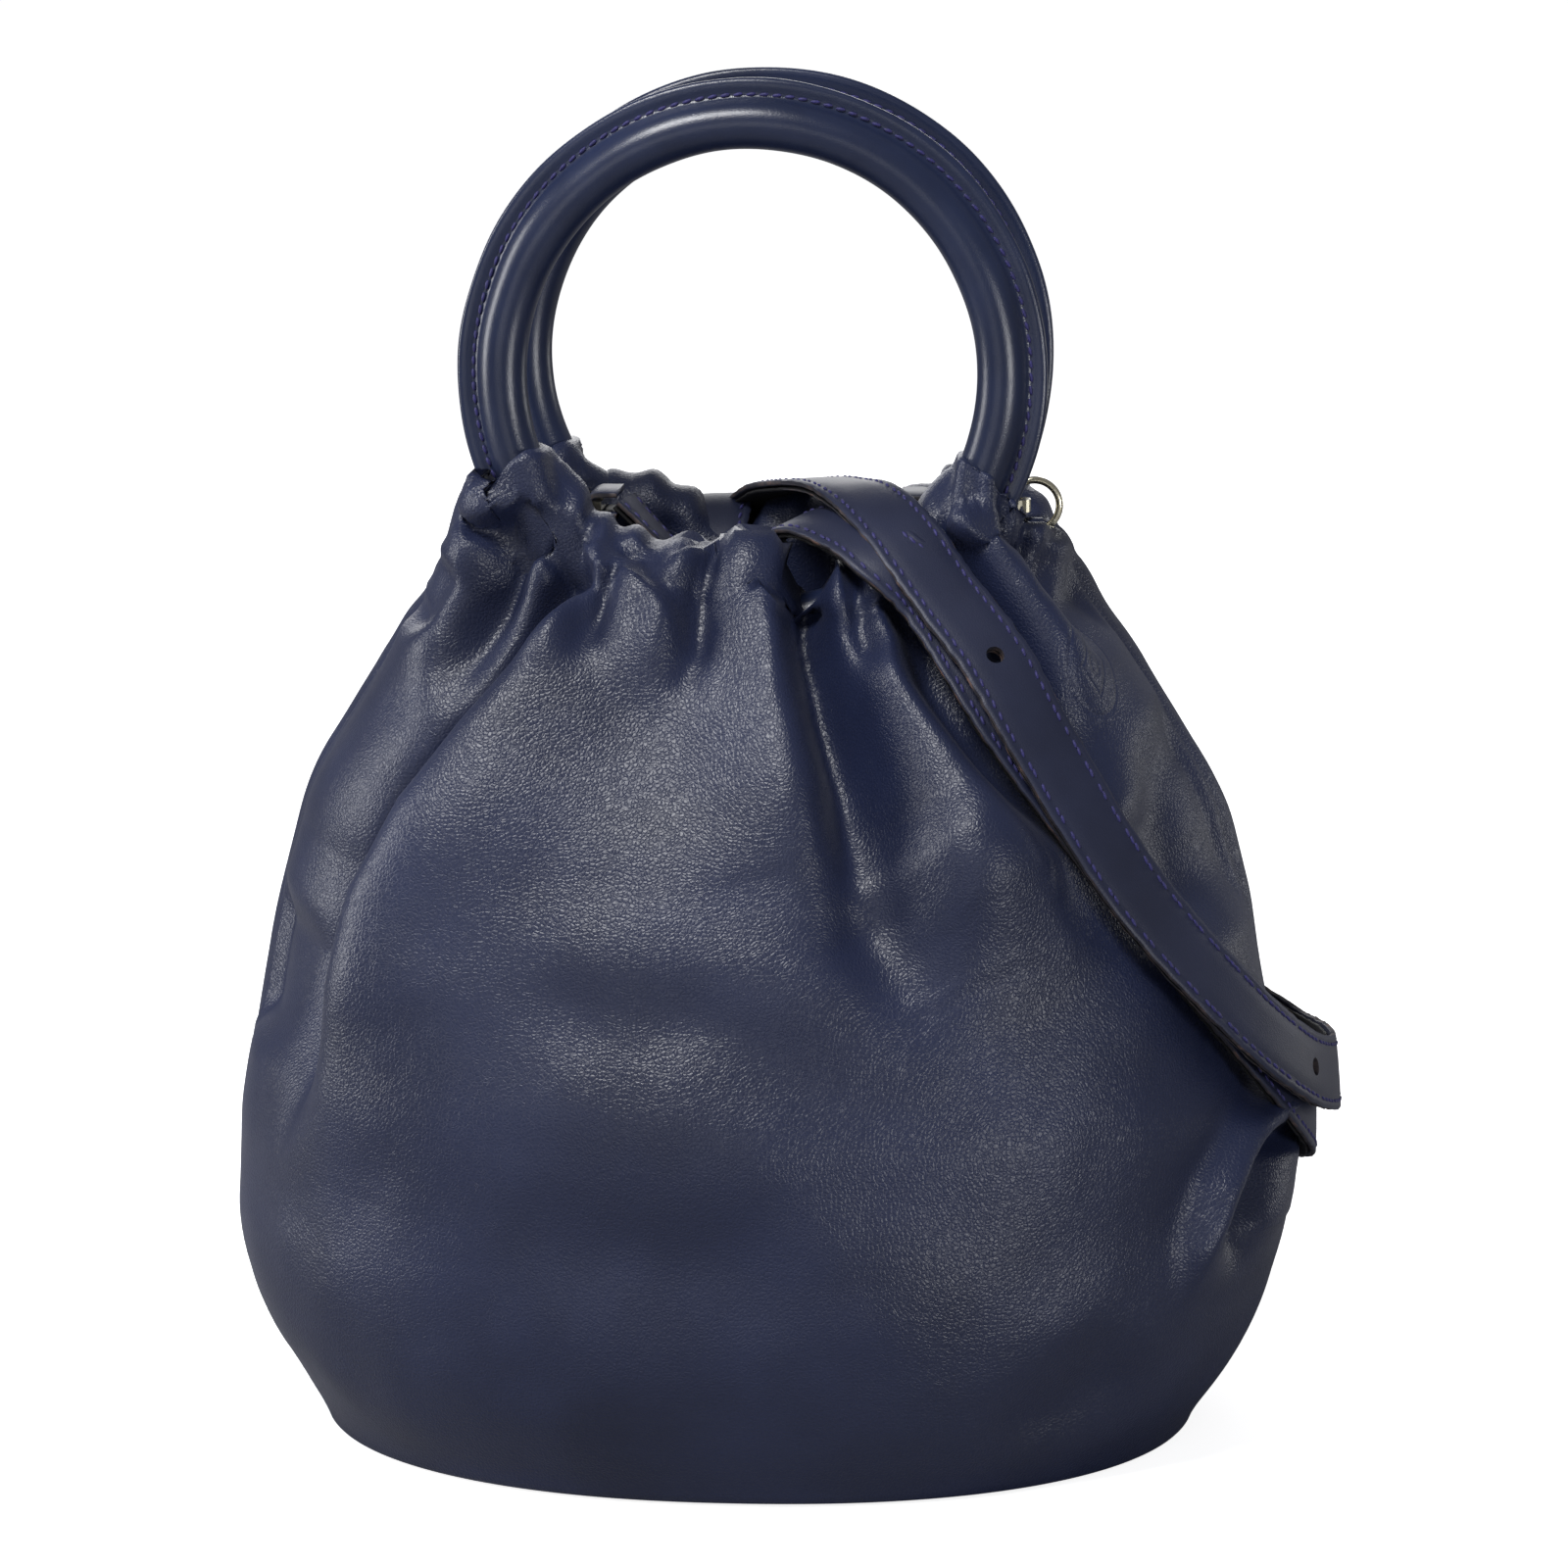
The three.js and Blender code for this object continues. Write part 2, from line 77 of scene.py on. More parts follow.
def addSoftbox(name, place, size, power, target=(0, 0, 0.15)):
    data = bpy.data.lights.new(name, "AREA")
    data.shape = "RECTANGLE"
    data.size, data.size_y = size
    data.energy = power
    light = bpy.data.objects.new(name, data)
    light.location = place
    light.rotation_euler = (Vector(target) - Vector(place)).to_track_quat("-Z", "Y").to_euler()
    bpy.context.collection.objects.link(light)


def setStudio():
    # A white backdrop for the eye; the light that falls on the bag is softer than the backdrop.
    world = bpy.data.worlds.new("studioAir")
    world.use_nodes = True
    tree = world.node_tree
    fill = tree.nodes["Background"]
    fill.inputs[0].default_value = (0.93, 0.94, 1, 1)
    fill.inputs[1].default_value = studio["fill"]
    backdrop = tree.nodes.new("ShaderNodeBackground")
    backdrop.inputs[0].default_value = (1, 1, 1, 1)
    mix = tree.nodes.new("ShaderNodeMixShader")
    seen = tree.nodes.new("ShaderNodeLightPath").outputs["Is Camera Ray"]
    tree.links.new(seen, mix.inputs[0])
    tree.links.new(fill.outputs[0], mix.inputs[1])
    tree.links.new(backdrop.outputs[0], mix.inputs[2])
    tree.links.new(mix.outputs[0], tree.nodes["World Output"].inputs[0])
    bpy.context.scene.world = world
    bpy.context.scene.view_settings.view_transform = "Standard"
    for name, (place, size, power) in softboxes.items():
        addSoftbox(name, place, size, power)
    bm = bmesh.new()
    bmesh.ops.create_grid(bm, x_segments=1, y_segments=1, size=15)
    floorMesh = bpy.data.meshes.new("studioFloor")
    bm.to_mesh(floorMesh)
    bm.free()
    floor = bpy.data.objects.new("studioFloor", floorMesh)
    bpy.context.collection.objects.link(floor)
    material = bpy.data.materials.new("paleFloor")
    material.use_nodes = True
    tree = material.node_tree
    pale = tree.nodes["Principled BSDF"]
    pale.inputs["Base Color"].default_value = (0.9, 0.9, 0.9, 1)
    pale.inputs["Roughness"].default_value = 0.9
    pale.inputs["Emission Color"].default_value = (1, 1, 1, 1)
    pale.inputs["Emission Strength"].default_value = 0.84
    dim = tree.nodes.new("ShaderNodeBsdfDiffuse")
    dim.inputs[0].default_value = (0.3, 0.3, 0.31, 1)
    mix = tree.nodes.new("ShaderNodeMixShader")
    seen = tree.nodes.new("ShaderNodeLightPath").outputs["Is Camera Ray"]
    tree.links.new(seen, mix.inputs[0])
    tree.links.new(dim.outputs[0], mix.inputs[1])
    tree.links.new(pale.outputs[0], mix.inputs[2])
    tree.links.new(mix.outputs[0], tree.nodes["Material Output"].inputs[0])
    floorMesh.materials.append(material)


setCamera()
setStudio()
print("studio set")


# Shader groups that several materials share
def newGroup(name, inputs, outputs):
    group = bpy.data.node_groups.new(name, "ShaderNodeTree")
    for socketName, kind, value in inputs:
        socket = group.interface.new_socket(socketName, in_out="INPUT", socket_type=kind)
        if value is not None:
            socket.default_value = value
    for socketName, kind in outputs:
        group.interface.new_socket(socketName, in_out="OUTPUT", socket_type=kind)
    start = group.nodes.new("NodeGroupInput")
    end = group.nodes.new("NodeGroupOutput")
    return group, start, end


def addMath(tree, operation, first, second=None, third=None):
    node = tree.nodes.new("ShaderNodeMath")
    node.operation = operation
    for socket, value in zip(node.inputs, (first, second, third)):
        if value is None:
            continue
        if isinstance(value, (int, float)):
            socket.default_value = value
        else:
            tree.links.new(value, socket)
    return node.outputs[0]


def makeGrainGroup():
    # Pebbled leather: small cells with soft creases between them, and slow changes of height.
    group, start, end = newGroup(
        "leatherGrain",
        [("Vector", "NodeSocketVector", None), ("Cell", "NodeSocketFloat", 900),
         ("Crease", "NodeSocketFloat", 0.6)],
        [("Height", "NodeSocketFloat"), ("Mask", "NodeSocketFloat")])
    bend = group.nodes.new("ShaderNodeTexNoise")
    bend.inputs["Scale"].default_value = 260
    bend.inputs["Detail"].default_value = 2
    group.links.new(start.outputs["Vector"], bend.inputs["Vector"])
    mix = group.nodes.new("ShaderNodeMix")
    mix.data_type = "VECTOR"
    mix.inputs[0].default_value = 0.0016
    group.links.new(start.outputs["Vector"], mix.inputs[4])
    group.links.new(bend.outputs["Color"], mix.inputs[5])
    cells = group.nodes.new("ShaderNodeTexVoronoi")
    cells.feature = "DISTANCE_TO_EDGE"
    cells.inputs["Randomness"].default_value = 0.9
    group.links.new(mix.outputs[1], cells.inputs["Vector"])
    group.links.new(start.outputs["Cell"], cells.inputs["Scale"])
    soft = addMath(group, "SMOOTH_MIN", cells.outputs["Distance"], 0.28, 0.2)
    fine = group.nodes.new("ShaderNodeTexNoise")
    fine.inputs["Scale"].default_value = 1500
    fine.inputs["Detail"].default_value = 3
    group.links.new(start.outputs["Vector"], fine.inputs["Vector"])
    raised = addMath(group, "MULTIPLY", soft, start.outputs["Crease"])
    height = addMath(group, "MULTIPLY_ADD", fine.outputs["Fac"], 0.12, raised)
    group.links.new(height, end.inputs["Height"])
    group.links.new(addMath(group, "MULTIPLY", soft, 3.5), end.inputs["Mask"])
    return group


grainGroup = makeGrainGroup()


mark = {"aside": 0.048, "height": 0.2015, "acrossScale": 72, "upScale": 80}


def makeEmbossGroup():
    # A pressed ring with a lozenge inside it, high on the right of the front.
    group, start, end = newGroup("pressedMark", [("Vector", "NodeSocketVector", None)],
                                 [("Depth", "NodeSocketFloat")])
    parts = group.nodes.new("ShaderNodeSeparateXYZ")
    group.links.new(start.outputs["Vector"], parts.inputs[0])
    aside = addMath(group, "ADD", parts.outputs[0], parts.outputs[1])
    aside = addMath(group, "SUBTRACT", aside, mark["aside"])
    aside = addMath(group, "MULTIPLY", aside, mark["acrossScale"])
    above = addMath(group, "SUBTRACT", parts.outputs[2], mark["height"])
    above = addMath(group, "MULTIPLY", above, mark["upScale"])
    radius = addMath(group, "SQRT", addMath(group, "ADD", addMath(group, "POWER", aside, 2),
                                            addMath(group, "POWER", above, 2)))
    lozenge = addMath(group, "ADD", addMath(group, "ABSOLUTE", aside), addMath(group, "ABSOLUTE", above))
    lines = None
    for value, middle, width in ((radius, 1.0, 0.1), (lozenge, 0.62, 0.1), (radius, 0.2, 0.08)):
        off = addMath(group, "ABSOLUTE", addMath(group, "SUBTRACT", value, middle))
        share = addMath(group, "SUBTRACT", 1.0, addMath(group, "DIVIDE", off, width))
        line = addMath(group, "MAXIMUM", share, 0.0)
        lines = line if lines is None else addMath(group, "MAXIMUM", lines, line)
    front = addMath(group, "LESS_THAN", parts.outputs[1], 0.0)
    group.links.new(addMath(group, "MULTIPLY", lines, front), end.inputs["Depth"])
    return group


embossGroup = makeEmbossGroup()


def newMaterial(name, color, roughness, metallic=0.0):
    material = bpy.data.materials.new(name)
    material.use_nodes = True
    tree = material.node_tree
    shader = tree.nodes["Principled BSDF"]
    shader.inputs["Base Color"].default_value = (*color, 1)
    shader.inputs["Roughness"].default_value = roughness
    shader.inputs["Metallic"].default_value = metallic
    return material, tree, shader


def colorRamp(tree, factor, stops):
    ramp = tree.nodes.new("ShaderNodeValToRGB")
    while len(ramp.color_ramp.elements) < len(stops):
        ramp.color_ramp.elements.new(0.5)
    for element, (position, color) in zip(ramp.color_ramp.elements, stops):
        element.position = position
        element.color = (*color, 1)
    tree.links.new(factor, ramp.inputs[0])
    return ramp.outputs[0]


def addPattern(tree, shader, kind, settings, stops):
    # A texture in object space that wanders between the stops' colours.
    place = tree.nodes.new("ShaderNodeTexCoord").outputs["Object"]
    pattern = tree.nodes.new(kind)
    for socket, value in settings.items():
        pattern.inputs[socket].default_value = value
    tree.links.new(place, pattern.inputs["Vector"])
    tree.links.new(colorRamp(tree, pattern.outputs["Fac"], stops), shader.inputs["Base Color"])
    return place, pattern


def makeLeather(name, look):
    # Dyed nappa: uneven colour, pebbled grain, smoother and rougher patches.
    material, tree, shader = newMaterial(name, look["color"], look["roughness"])
    dark = tuple(c * 0.78 for c in look["color"])
    light = tuple(c * 1.2 + 0.0012 for c in look["color"])
    settings = {"Scale": look["patchScale"], "Detail": 4}
    place, patch = addPattern(tree, shader, "ShaderNodeTexNoise", settings, [(0.3, dark), (0.7, light)])
    grain = tree.nodes.new("ShaderNodeGroup")
    grain.node_tree = grainGroup
    grain.inputs["Cell"].default_value = look["cells"]
    grain.inputs["Crease"].default_value = look["crease"]
    tree.links.new(place, grain.inputs["Vector"])
    bump = tree.nodes.new("ShaderNodeBump")
    bump.inputs["Strength"].default_value = look["bump"]
    bump.inputs["Distance"].default_value = 0.0004
    height = grain.outputs["Height"]
    if look.get("pressed"):
        press = tree.nodes.new("ShaderNodeGroup")
        press.node_tree = embossGroup
        tree.links.new(place, press.inputs["Vector"])
        height = addMath(tree, "MULTIPLY_ADD", press.outputs["Depth"], -look["pressed"], height)
    tree.links.new(height, bump.inputs["Height"])
    tree.links.new(bump.outputs["Normal"], shader.inputs["Normal"])
    rough = addMath(tree, "MULTIPLY_ADD", patch.outputs["Fac"], look["roughSpread"],
                    look["roughness"] - look["roughSpread"] / 2)
    tree.links.new(rough, shader.inputs["Roughness"])
    shader.inputs["Specular IOR Level"].default_value = look["gloss"]
    shader.inputs["Sheen Weight"].default_value = look["sheen"]
    shader.inputs["Sheen Roughness"].default_value = 0.45
    shader.inputs["Sheen Tint"].default_value = (0.75, 0.76, 0.95, 1)
    return material


leatherLooks = {
    "bodyLeather": {"color": (0.011, 0.016, 0.046), "roughness": 0.38, "roughSpread": 0.06, "gloss": 0.48,
                    "patchScale": 22, "cells": 980, "crease": 1.1, "bump": 0.58, "sheen": 0.03,
                    "pressed": 1.0},
    "ringLeather": {"color": (0.010, 0.016, 0.045), "roughness": 0.29, "roughSpread": 0.06, "gloss": 0.5,
                    "patchScale": 40, "cells": 1400, "crease": 0.35, "bump": 0.35, "sheen": 0.04},
    "strapLeather": {"color": (0.0105, 0.014, 0.037), "roughness": 0.46, "roughSpread": 0.08, "gloss": 0.45,
                     "patchScale": 30, "cells": 1500, "crease": 0.4, "bump": 0.4, "sheen": 0.04},
    "strapBacking": {"color": (0.004, 0.004, 0.0045), "roughness": 0.7, "roughSpread": 0.1, "gloss": 0.25,
                     "patchScale": 40, "cells": 1700, "crease": 0.5, "bump": 0.4, "sheen": 0.02},
    "baseLeather": {"color": (0.007, 0.008, 0.016), "roughness": 0.55, "roughSpread": 0.1, "gloss": 0.4,
                    "patchScale": 30, "cells": 1000, "crease": 0.6, "bump": 0.5, "sheen": 0.02},
}
leathers = {name: makeLeather(name, look) for name, look in leatherLooks.items()}


def makeThread():
    material, tree, shader = newMaterial("violetThread", (0.02, 0.015, 0.12), 0.6)
    addPattern(tree, shader, "ShaderNodeTexNoise", {"Scale": 2500},
               [(0.35, (0.008, 0.007, 0.062)), (0.7, (0.02, 0.017, 0.14))])
    shader.inputs["Sheen Weight"].default_value = 0.1
    return material


def makeEdge():
    # Cut leather edge: dye worn through to brown in places.
    material, tree, shader = newMaterial("cutEdge", (0.02, 0.018, 0.024), 0.75)
    addPattern(tree, shader, "ShaderNodeTexNoise", {"Scale": 240, "Detail": 5},
               [(0.45, (0.018, 0.017, 0.026)), (0.6, (0.06, 0.045, 0.045)), (0.72, (0.2, 0.11, 0.085))])
    return material


def makeCloth():
    material, tree, shader = newMaterial("twillLining", (0.012, 0.014, 0.024), 0.85)
    _, twill = addPattern(tree, shader, "ShaderNodeTexWave", {"Scale": 420, "Distortion": 0.6},
                          [(0.2, (0.008, 0.009, 0.016)), (0.8, (0.018, 0.02, 0.034))])
    twill.bands_direction = "DIAGONAL"
    bump = tree.nodes.new("ShaderNodeBump")
    bump.inputs["Strength"].default_value = 0.4
    bump.inputs["Distance"].default_value = 0.0003
    tree.links.new(twill.outputs["Fac"], bump.inputs["Height"])
    tree.links.new(bump.outputs["Normal"], shader.inputs["Normal"])
    shader.inputs["Sheen Weight"].default_value = 0.3
    return material


def makeMetal():
    material, tree, shader = newMaterial("paleGold", (0.78, 0.71, 0.5), 0.22, 1.0)
    _, wear = addPattern(tree, shader, "ShaderNodeTexNoise", {"Scale": 500, "Detail": 4},
                         [(0.35, (0.66, 0.6, 0.43)), (0.65, (0.83, 0.79, 0.62))])
    rough = addMath(tree, "MULTIPLY_ADD", wear.outputs["Fac"], 0.2, 0.12)
    tree.links.new(rough, shader.inputs["Roughness"])
    return material


def makeBoard():
    material, tree, shader = newMaterial("fibreBoard", (0.12, 0.095, 0.07), 0.9)
    addPattern(tree, shader, "ShaderNodeTexNoise", {"Scale": 700},
               [(0.3, (0.09, 0.07, 0.05)), (0.7, (0.16, 0.13, 0.1))])
    return material


thread = makeThread()
cutEdge = makeEdge()
lining = makeCloth()
paleGold = makeMetal()
fibreBoard = makeBoard()
print("materials made")


# Form of the body
bodyForm = {
    "height": (0, 14, 30, 50, 92, 130, 165, 190, 215, 236, 252),
    "halfWidth": (111, 121, 130, 135, 134, 127, 117, 101, 84, 74, 72),
    "halfDepth": (98, 105, 110, 113, 112, 103, 87, 70, 50, 36, 33),
    "squareness": (2.2, 2.2, 2.2, 2.2, 2.2, 2.2, 2.25, 2.4, 2.9, 3.4, 3.4),
    "spread": (-7, -3.5, 0, 3.5, 7),
}


def bodyAt(height, key):
    samples = [np.interp(height + step, bodyForm["height"], bodyForm[key]) for step in bodyForm["spread"]]
    return sum(samples) / len(samples)


def planPoint(turn, halfWidth, halfDepth, squareness):
    x = halfWidth * np.sign(np.cos(turn)) * np.abs(np.cos(turn)) ** (2 / squareness)
    y = halfDepth * np.sign(np.sin(turn)) * np.abs(np.sin(turn)) ** (2 / squareness)
    return x, y


def gridMesh(name, columns, rows):
    # An even grid whose corners are 0..1, with the same numbers as UVs.
    bm = bmesh.new()
    bm.loops.layers.uv.new("UVMap")
    bmesh.ops.create_grid(bm, x_segments=columns, y_segments=rows, size=0.5, calc_uvs=True)
    bmesh.ops.translate(bm, verts=bm.verts, vec=(0.5, 0.5, 0))
    mesh = bpy.data.meshes.new(name)
    bm.to_mesh(mesh)
    bm.free()
    return mesh


def readPoints(mesh):
    points = np.empty(len(mesh.vertices) * 3)
    mesh.vertices.foreach_get("co", points)
    return points.reshape(-1, 3)


def writePoints(mesh, points):
    mesh.vertices.foreach_set("co", np.ascontiguousarray(points, dtype=np.float64).ravel())
    mesh.update()


def readNormals(mesh):
    normals = np.empty(len(mesh.vertices) * 3)
    mesh.vertex_normals.foreach_get("vector", normals)
    return normals.reshape(-1, 3)


def smoothStep(value, start, end):
    share = np.clip((value - start) / (end - start), 0, 1)
    return share * share * (3 - 2 * share)


def foldHeight(across, up, fold):
    # Height of one fold: a path with its own width on the left and on the right, fading at its ends.
    path = np.array(fold["path"], dtype=float)
    lengths = np.linalg.norm(np.diff(path, axis=0), axis=1)
    along = np.concatenate(([0], np.cumsum(lengths))) / lengths.sum()
    nearest = np.full(across.shape, 1e9)
    share = np.zeros(across.shape)
    aside = np.zeros(across.shape)
    for i, length in enumerate(lengths):
        way = (path[i + 1] - path[i]) / length
        reach = (across - path[i, 0]) * way[0] + (up - path[i, 1]) * way[1]
        inside = np.clip(reach, 0, length)
        offX = across - path[i, 0] - way[0] * inside
        offZ = up - path[i, 1] - way[1] * inside
        distance = np.hypot(offX, offZ)
        closer = distance < nearest
        nearest = np.where(closer, distance, nearest)
        share = np.where(closer, along[i] + (along[i + 1] - along[i]) * inside / length, share)
        aside = np.where(closer, way[1] * offX - way[0] * offZ, aside)
    grow = 1 + (fold.get("spread", 1) - 1) * share
    # On a path that runs down the bag, its right-hand side has a negative aside.
    width = np.where(aside < 0, fold["right"], fold["left"]) * grow
    fadeIn, fadeOut = fold.get("fade", (0.02, 0.45))
    strength = smoothStep(share, -0.001, fadeIn) * (1 - smoothStep(share, 1 - fadeOut, 1.001))
    return fold["rise"] * strength * np.exp(-(nearest / width) ** 2)


# The front's folds, as (across, up) paths running down from the gathered mouth
frontFolds = [
    {"path": [(-27, 229), (-48, 212), (-62, 197), (-73, 182), (-83, 163), (-93, 144), (-100, 122),
              (-108, 95), (-112, 78), (-114, 62)], "rise": 7.5, "left": 3.5, "right": 24, "spread": 1.1,
     "fade": (0.03, 0.4)},
    {"path": [(-37, 226), (-56, 210), (-72, 191), (-87, 172), (-99, 149), (-106, 125), (-111, 98),
              (-116, 75)], "rise": -12, "left": 12, "right": 5.5, "spread": 1.3, "fade": (0.03, 0.3)},
    {"path": [(-48, 229), (-60, 212), (-73, 196), (-92, 175), (-104, 155), (-113, 132)], "rise": 6,
     "left": 9, "right": 4, "fade": (0.05, 0.5)},
    {"path": [(11, 230), (14, 213), (19, 197), (26, 179), (30, 162), (32, 146), (33, 130)], "rise": -13.5,
     "left": 3.4, "right": 8, "spread": 2.6, "fade": (0.01, 0.6)},
    {"path": [(4, 230), (7, 212), (12, 196), (19, 178), (24, 160), (26, 146)], "rise": 6, "left": 22,
     "right": 4, "fade": (0.02, 0.5)},
    {"path": [(22, 226), (30, 208), (44, 189), (58, 171), (70, 155), (79, 138), (84, 122)], "rise": 7.5,
     "left": 14, "right": 5, "spread": 1.8, "fade": (0.03, 0.4)},
    {"path": [(35, 222), (47, 203), (60, 187), (76, 170), (92, 156)], "rise": -9, "left": 5, "right": 11,
     "spread": 1.5, "fade": (0.04, 0.5)},
    {"path": [(96, 172), (110, 150), (120, 128)], "rise": -4.5, "left": 14, "right": 12,
     "fade": (0.3, 0.4)},
    {"path": [(30, 156), (38, 140), (48, 126), (58, 116)], "rise": -4, "left": 11, "right": 12,
     "fade": (0.3, 0.6)},
    {"path": [(-70, 116), (-40, 124), (-8, 122), (24, 108), (52, 96)], "rise": -2.2, "left": 13,
     "right": 11, "fade": (0.3, 0.4)},
    {"path": [(-58, 70), (-20, 62), (30, 66)], "rise": -1.6, "left": 16, "right": 14, "fade": (0.4, 0.4)},
    {"path": [(44, 172), (58, 152), (66, 132)], "rise": 3.5, "left": 12, "right": 12, "fade": (0.3, 0.5)},
    {"path": [(134, 96), (125, 86), (118, 74), (114, 60), (113, 42)], "rise": 7, "left": 3.5, "right": 18,
     "fade": (0.15, 0.45)},
    {"path": [(134, 86), (128, 76), (123, 62), (122, 46)], "rise": -8, "left": 6, "right": 4,
     "fade": (0.2, 0.5)},
    {"path": [(-39, 231), (-45, 214), (-52, 196)], "rise": 3.5, "left": 4, "right": 4, "spread": 1.6},
    {"path": [(-29, 231), (-35, 215), (-43, 199)], "rise": -4.5, "left": 2.6, "right": 3, "spread": 1.8},
    {"path": [(-15, 229), (-19, 210), (-26, 190)], "rise": 3, "left": 6, "right": 6, "spread": 1.8},
    {"path": [(-9, 226), (-11, 210), (-16, 192)], "rise": -3.5, "left": 3, "right": 3, "spread": 2},
    {"path": [(-63, 244), (-69, 226), (-80, 208), (-92, 190)], "rise": 5.5, "left": 6, "right": 5,
     "spread": 1.6},
    {"path": [(-54, 240), (-62, 222), (-75, 204), (-86, 190)], "rise": -6, "left": 3, "right": 3.5,
     "spread": 1.8},
    {"path": [(-70, 236), (-60, 230), (-47, 233), (-38, 231)], "rise": -6, "left": 3, "right": 3,
     "fade": (0.2, 0.2)},
    {"path": [(-72, 224), (-80, 212), (-92, 205)], "rise": -4, "left": 4, "right": 4, "fade": (0.2, 0.4)},
    {"path": [(26, 225), (29, 212), (36, 198)], "rise": -6, "left": 2.8, "right": 3, "spread": 1.5},
    {"path": [(31, 228), (36, 213), (45, 200)], "rise": 4, "left": 3, "right": 4, "spread": 1.6},
    {"path": [(52, 240), (64, 222), (78, 204), (92, 182)], "rise": 6, "left": 6, "right": 5,
     "spread": 1.7},
    {"path": [(45, 237), (55, 218), (67, 200), (82, 178)], "rise": -6.5, "left": 3.5, "right": 3.5,
     "spread": 1.9},
    {"path": [(63, 238), (76, 219), (92, 200)], "rise": -5, "left": 3, "right": 3.5, "spread": 1.9},
    {"path": [(100, 190), (112, 160), (120, 130)], "rise": -5, "left": 8, "right": 6, "fade": (0.3, 0.4)},
    {"path": [(-136, 100), (-127, 118), (-121, 142)], "rise": -4, "left": 9, "right": 9,
     "fade": (0.25, 0.3)},
    {"path": [(60, 14), (84, 24), (104, 40)], "rise": -2.5, "left": 9, "right": 9, "fade": (0.3, 0.4)},
]
backFolds = [
    {"path": [(-56, 240), (-68, 216), (-86, 188), (-102, 150), (-112, 110)], "rise": 5.5, "left": 8,
     "right": 5, "spread": 2},
    {"path": [(-46, 234), (-58, 212), (-76, 184), (-90, 150)], "rise": -6, "left": 4, "right": 4,
     "spread": 2.2},
    {"path": [(-36, 233), (-42, 212), (-54, 180), (-62, 140), (-66, 100)], "rise": 5, "left": 7,
     "right": 11, "spread": 2},
    {"path": [(-25, 230), (-29, 206), (-36, 178)], "rise": -5, "left": 3, "right": 3, "spread": 2.4},
    {"path": [(-14, 227), (-15, 204), (-18, 172), (-20, 130)], "rise": 4, "left": 8, "right": 6,
     "spread": 2.4},
    {"path": [(-8, 222), (-7, 200), (-6, 170)], "rise": -8, "left": 2.4, "right": 2.6, "spread": 3},
    {"path": [(3, 228), (5, 204), (10, 172), (14, 126)], "rise": 4.5, "left": 5, "right": 10,
     "spread": 2.2},
    {"path": [(16, 228), (20, 206), (28, 176)], "rise": -5, "left": 3, "right": 3, "spread": 2.5},
    {"path": [(28, 230), (35, 208), (48, 176), (60, 136), (68, 100)], "rise": 5, "left": 9, "right": 6,
     "spread": 2},
    {"path": [(40, 234), (50, 210), (66, 180), (78, 146)], "rise": -6, "left": 4, "right": 4,
     "spread": 2.2},
    {"path": [(54, 241), (66, 216), (84, 188), (100, 150), (110, 112)], "rise": 5.5, "left": 6,
     "right": 8, "spread": 2},
]
frontRim = {
    "across": (-74, -70, -66, -62, -58, -54, -50, -46, -42, -38, -31, -24, -18, -12, -8, -3, 3, 6.5, 9.5,
               12, 16, 20, 26, 32, 38, 42, 46, 50, 54, 58, 62, 68, 74),
    "up": (232, 240, 246, 250, 252, 252, 249, 243, 238, 235, 233, 230.5, 229, 226.5, 225, 227.5, 230,
           230.5, 225, 226, 227, 224, 223, 227, 232, 237, 243, 249, 252, 251, 247, 239, 232),
}
backRim = {
    "across": (-74, -66, -58, -50, -44, -37, -27, -19, -13, -9, -5, 2, 10, 20, 30, 40, 50, 58, 66, 74),
    "up": (232, 241, 249, 247, 240, 242, 240, 234, 227, 222, 228, 235, 237, 236, 236, 238, 244, 247,
           241, 232),
}
# Room for the ring in its casing, and the reach of a weight for how far round it the leather would follow
# the handle; the weight is worked out but not applied
sleeve = {
    "ringHeight": 272, "ringDepth": 28, "tubeCentre": 62.7, "tube": 8.6, "flange": 3.4, "inner": 66,
    "outer": 73, "flangeStart": (60, 66), "flangeEnd": (75, 79), "hole": (53, 57), "middle": 66,
    "reach": 13, "round": 1.5,
    "follow": (66, 92), "followAcross": (60, 73), "followDepth": (2, 14),
}
# Shares of the way up the sheet where it turns, then sizes of the turns, the folds and the gathers
shell = {
    "columns": 250, "rows": 165, "tuck": 0.03, "crest": 0.84, "turnover": 0.93, "wrapped": 0.45,
    "mouth": (74, 33, 3.4), "foot": 1.2, "tuckInset": 9, "drop": 9, "innerHalfWidth": 69,
    "innerHalfDepth": 17, "facing": 34, "liningTurn": 0.8, "liningFoot": 4.5, "liningHeight": 178,
    "liningRoom": 24, "liningGap": 3, "liningOverlap": 6, "liningFold": 0.3, "seamDip": 1.6,
    "seamWidth": 2.2, "foldGain": 1.45, "ripple": 1.1, "ripplePitch": 10.5, "rippleReach": 20,
    "wander": 1.6,
}


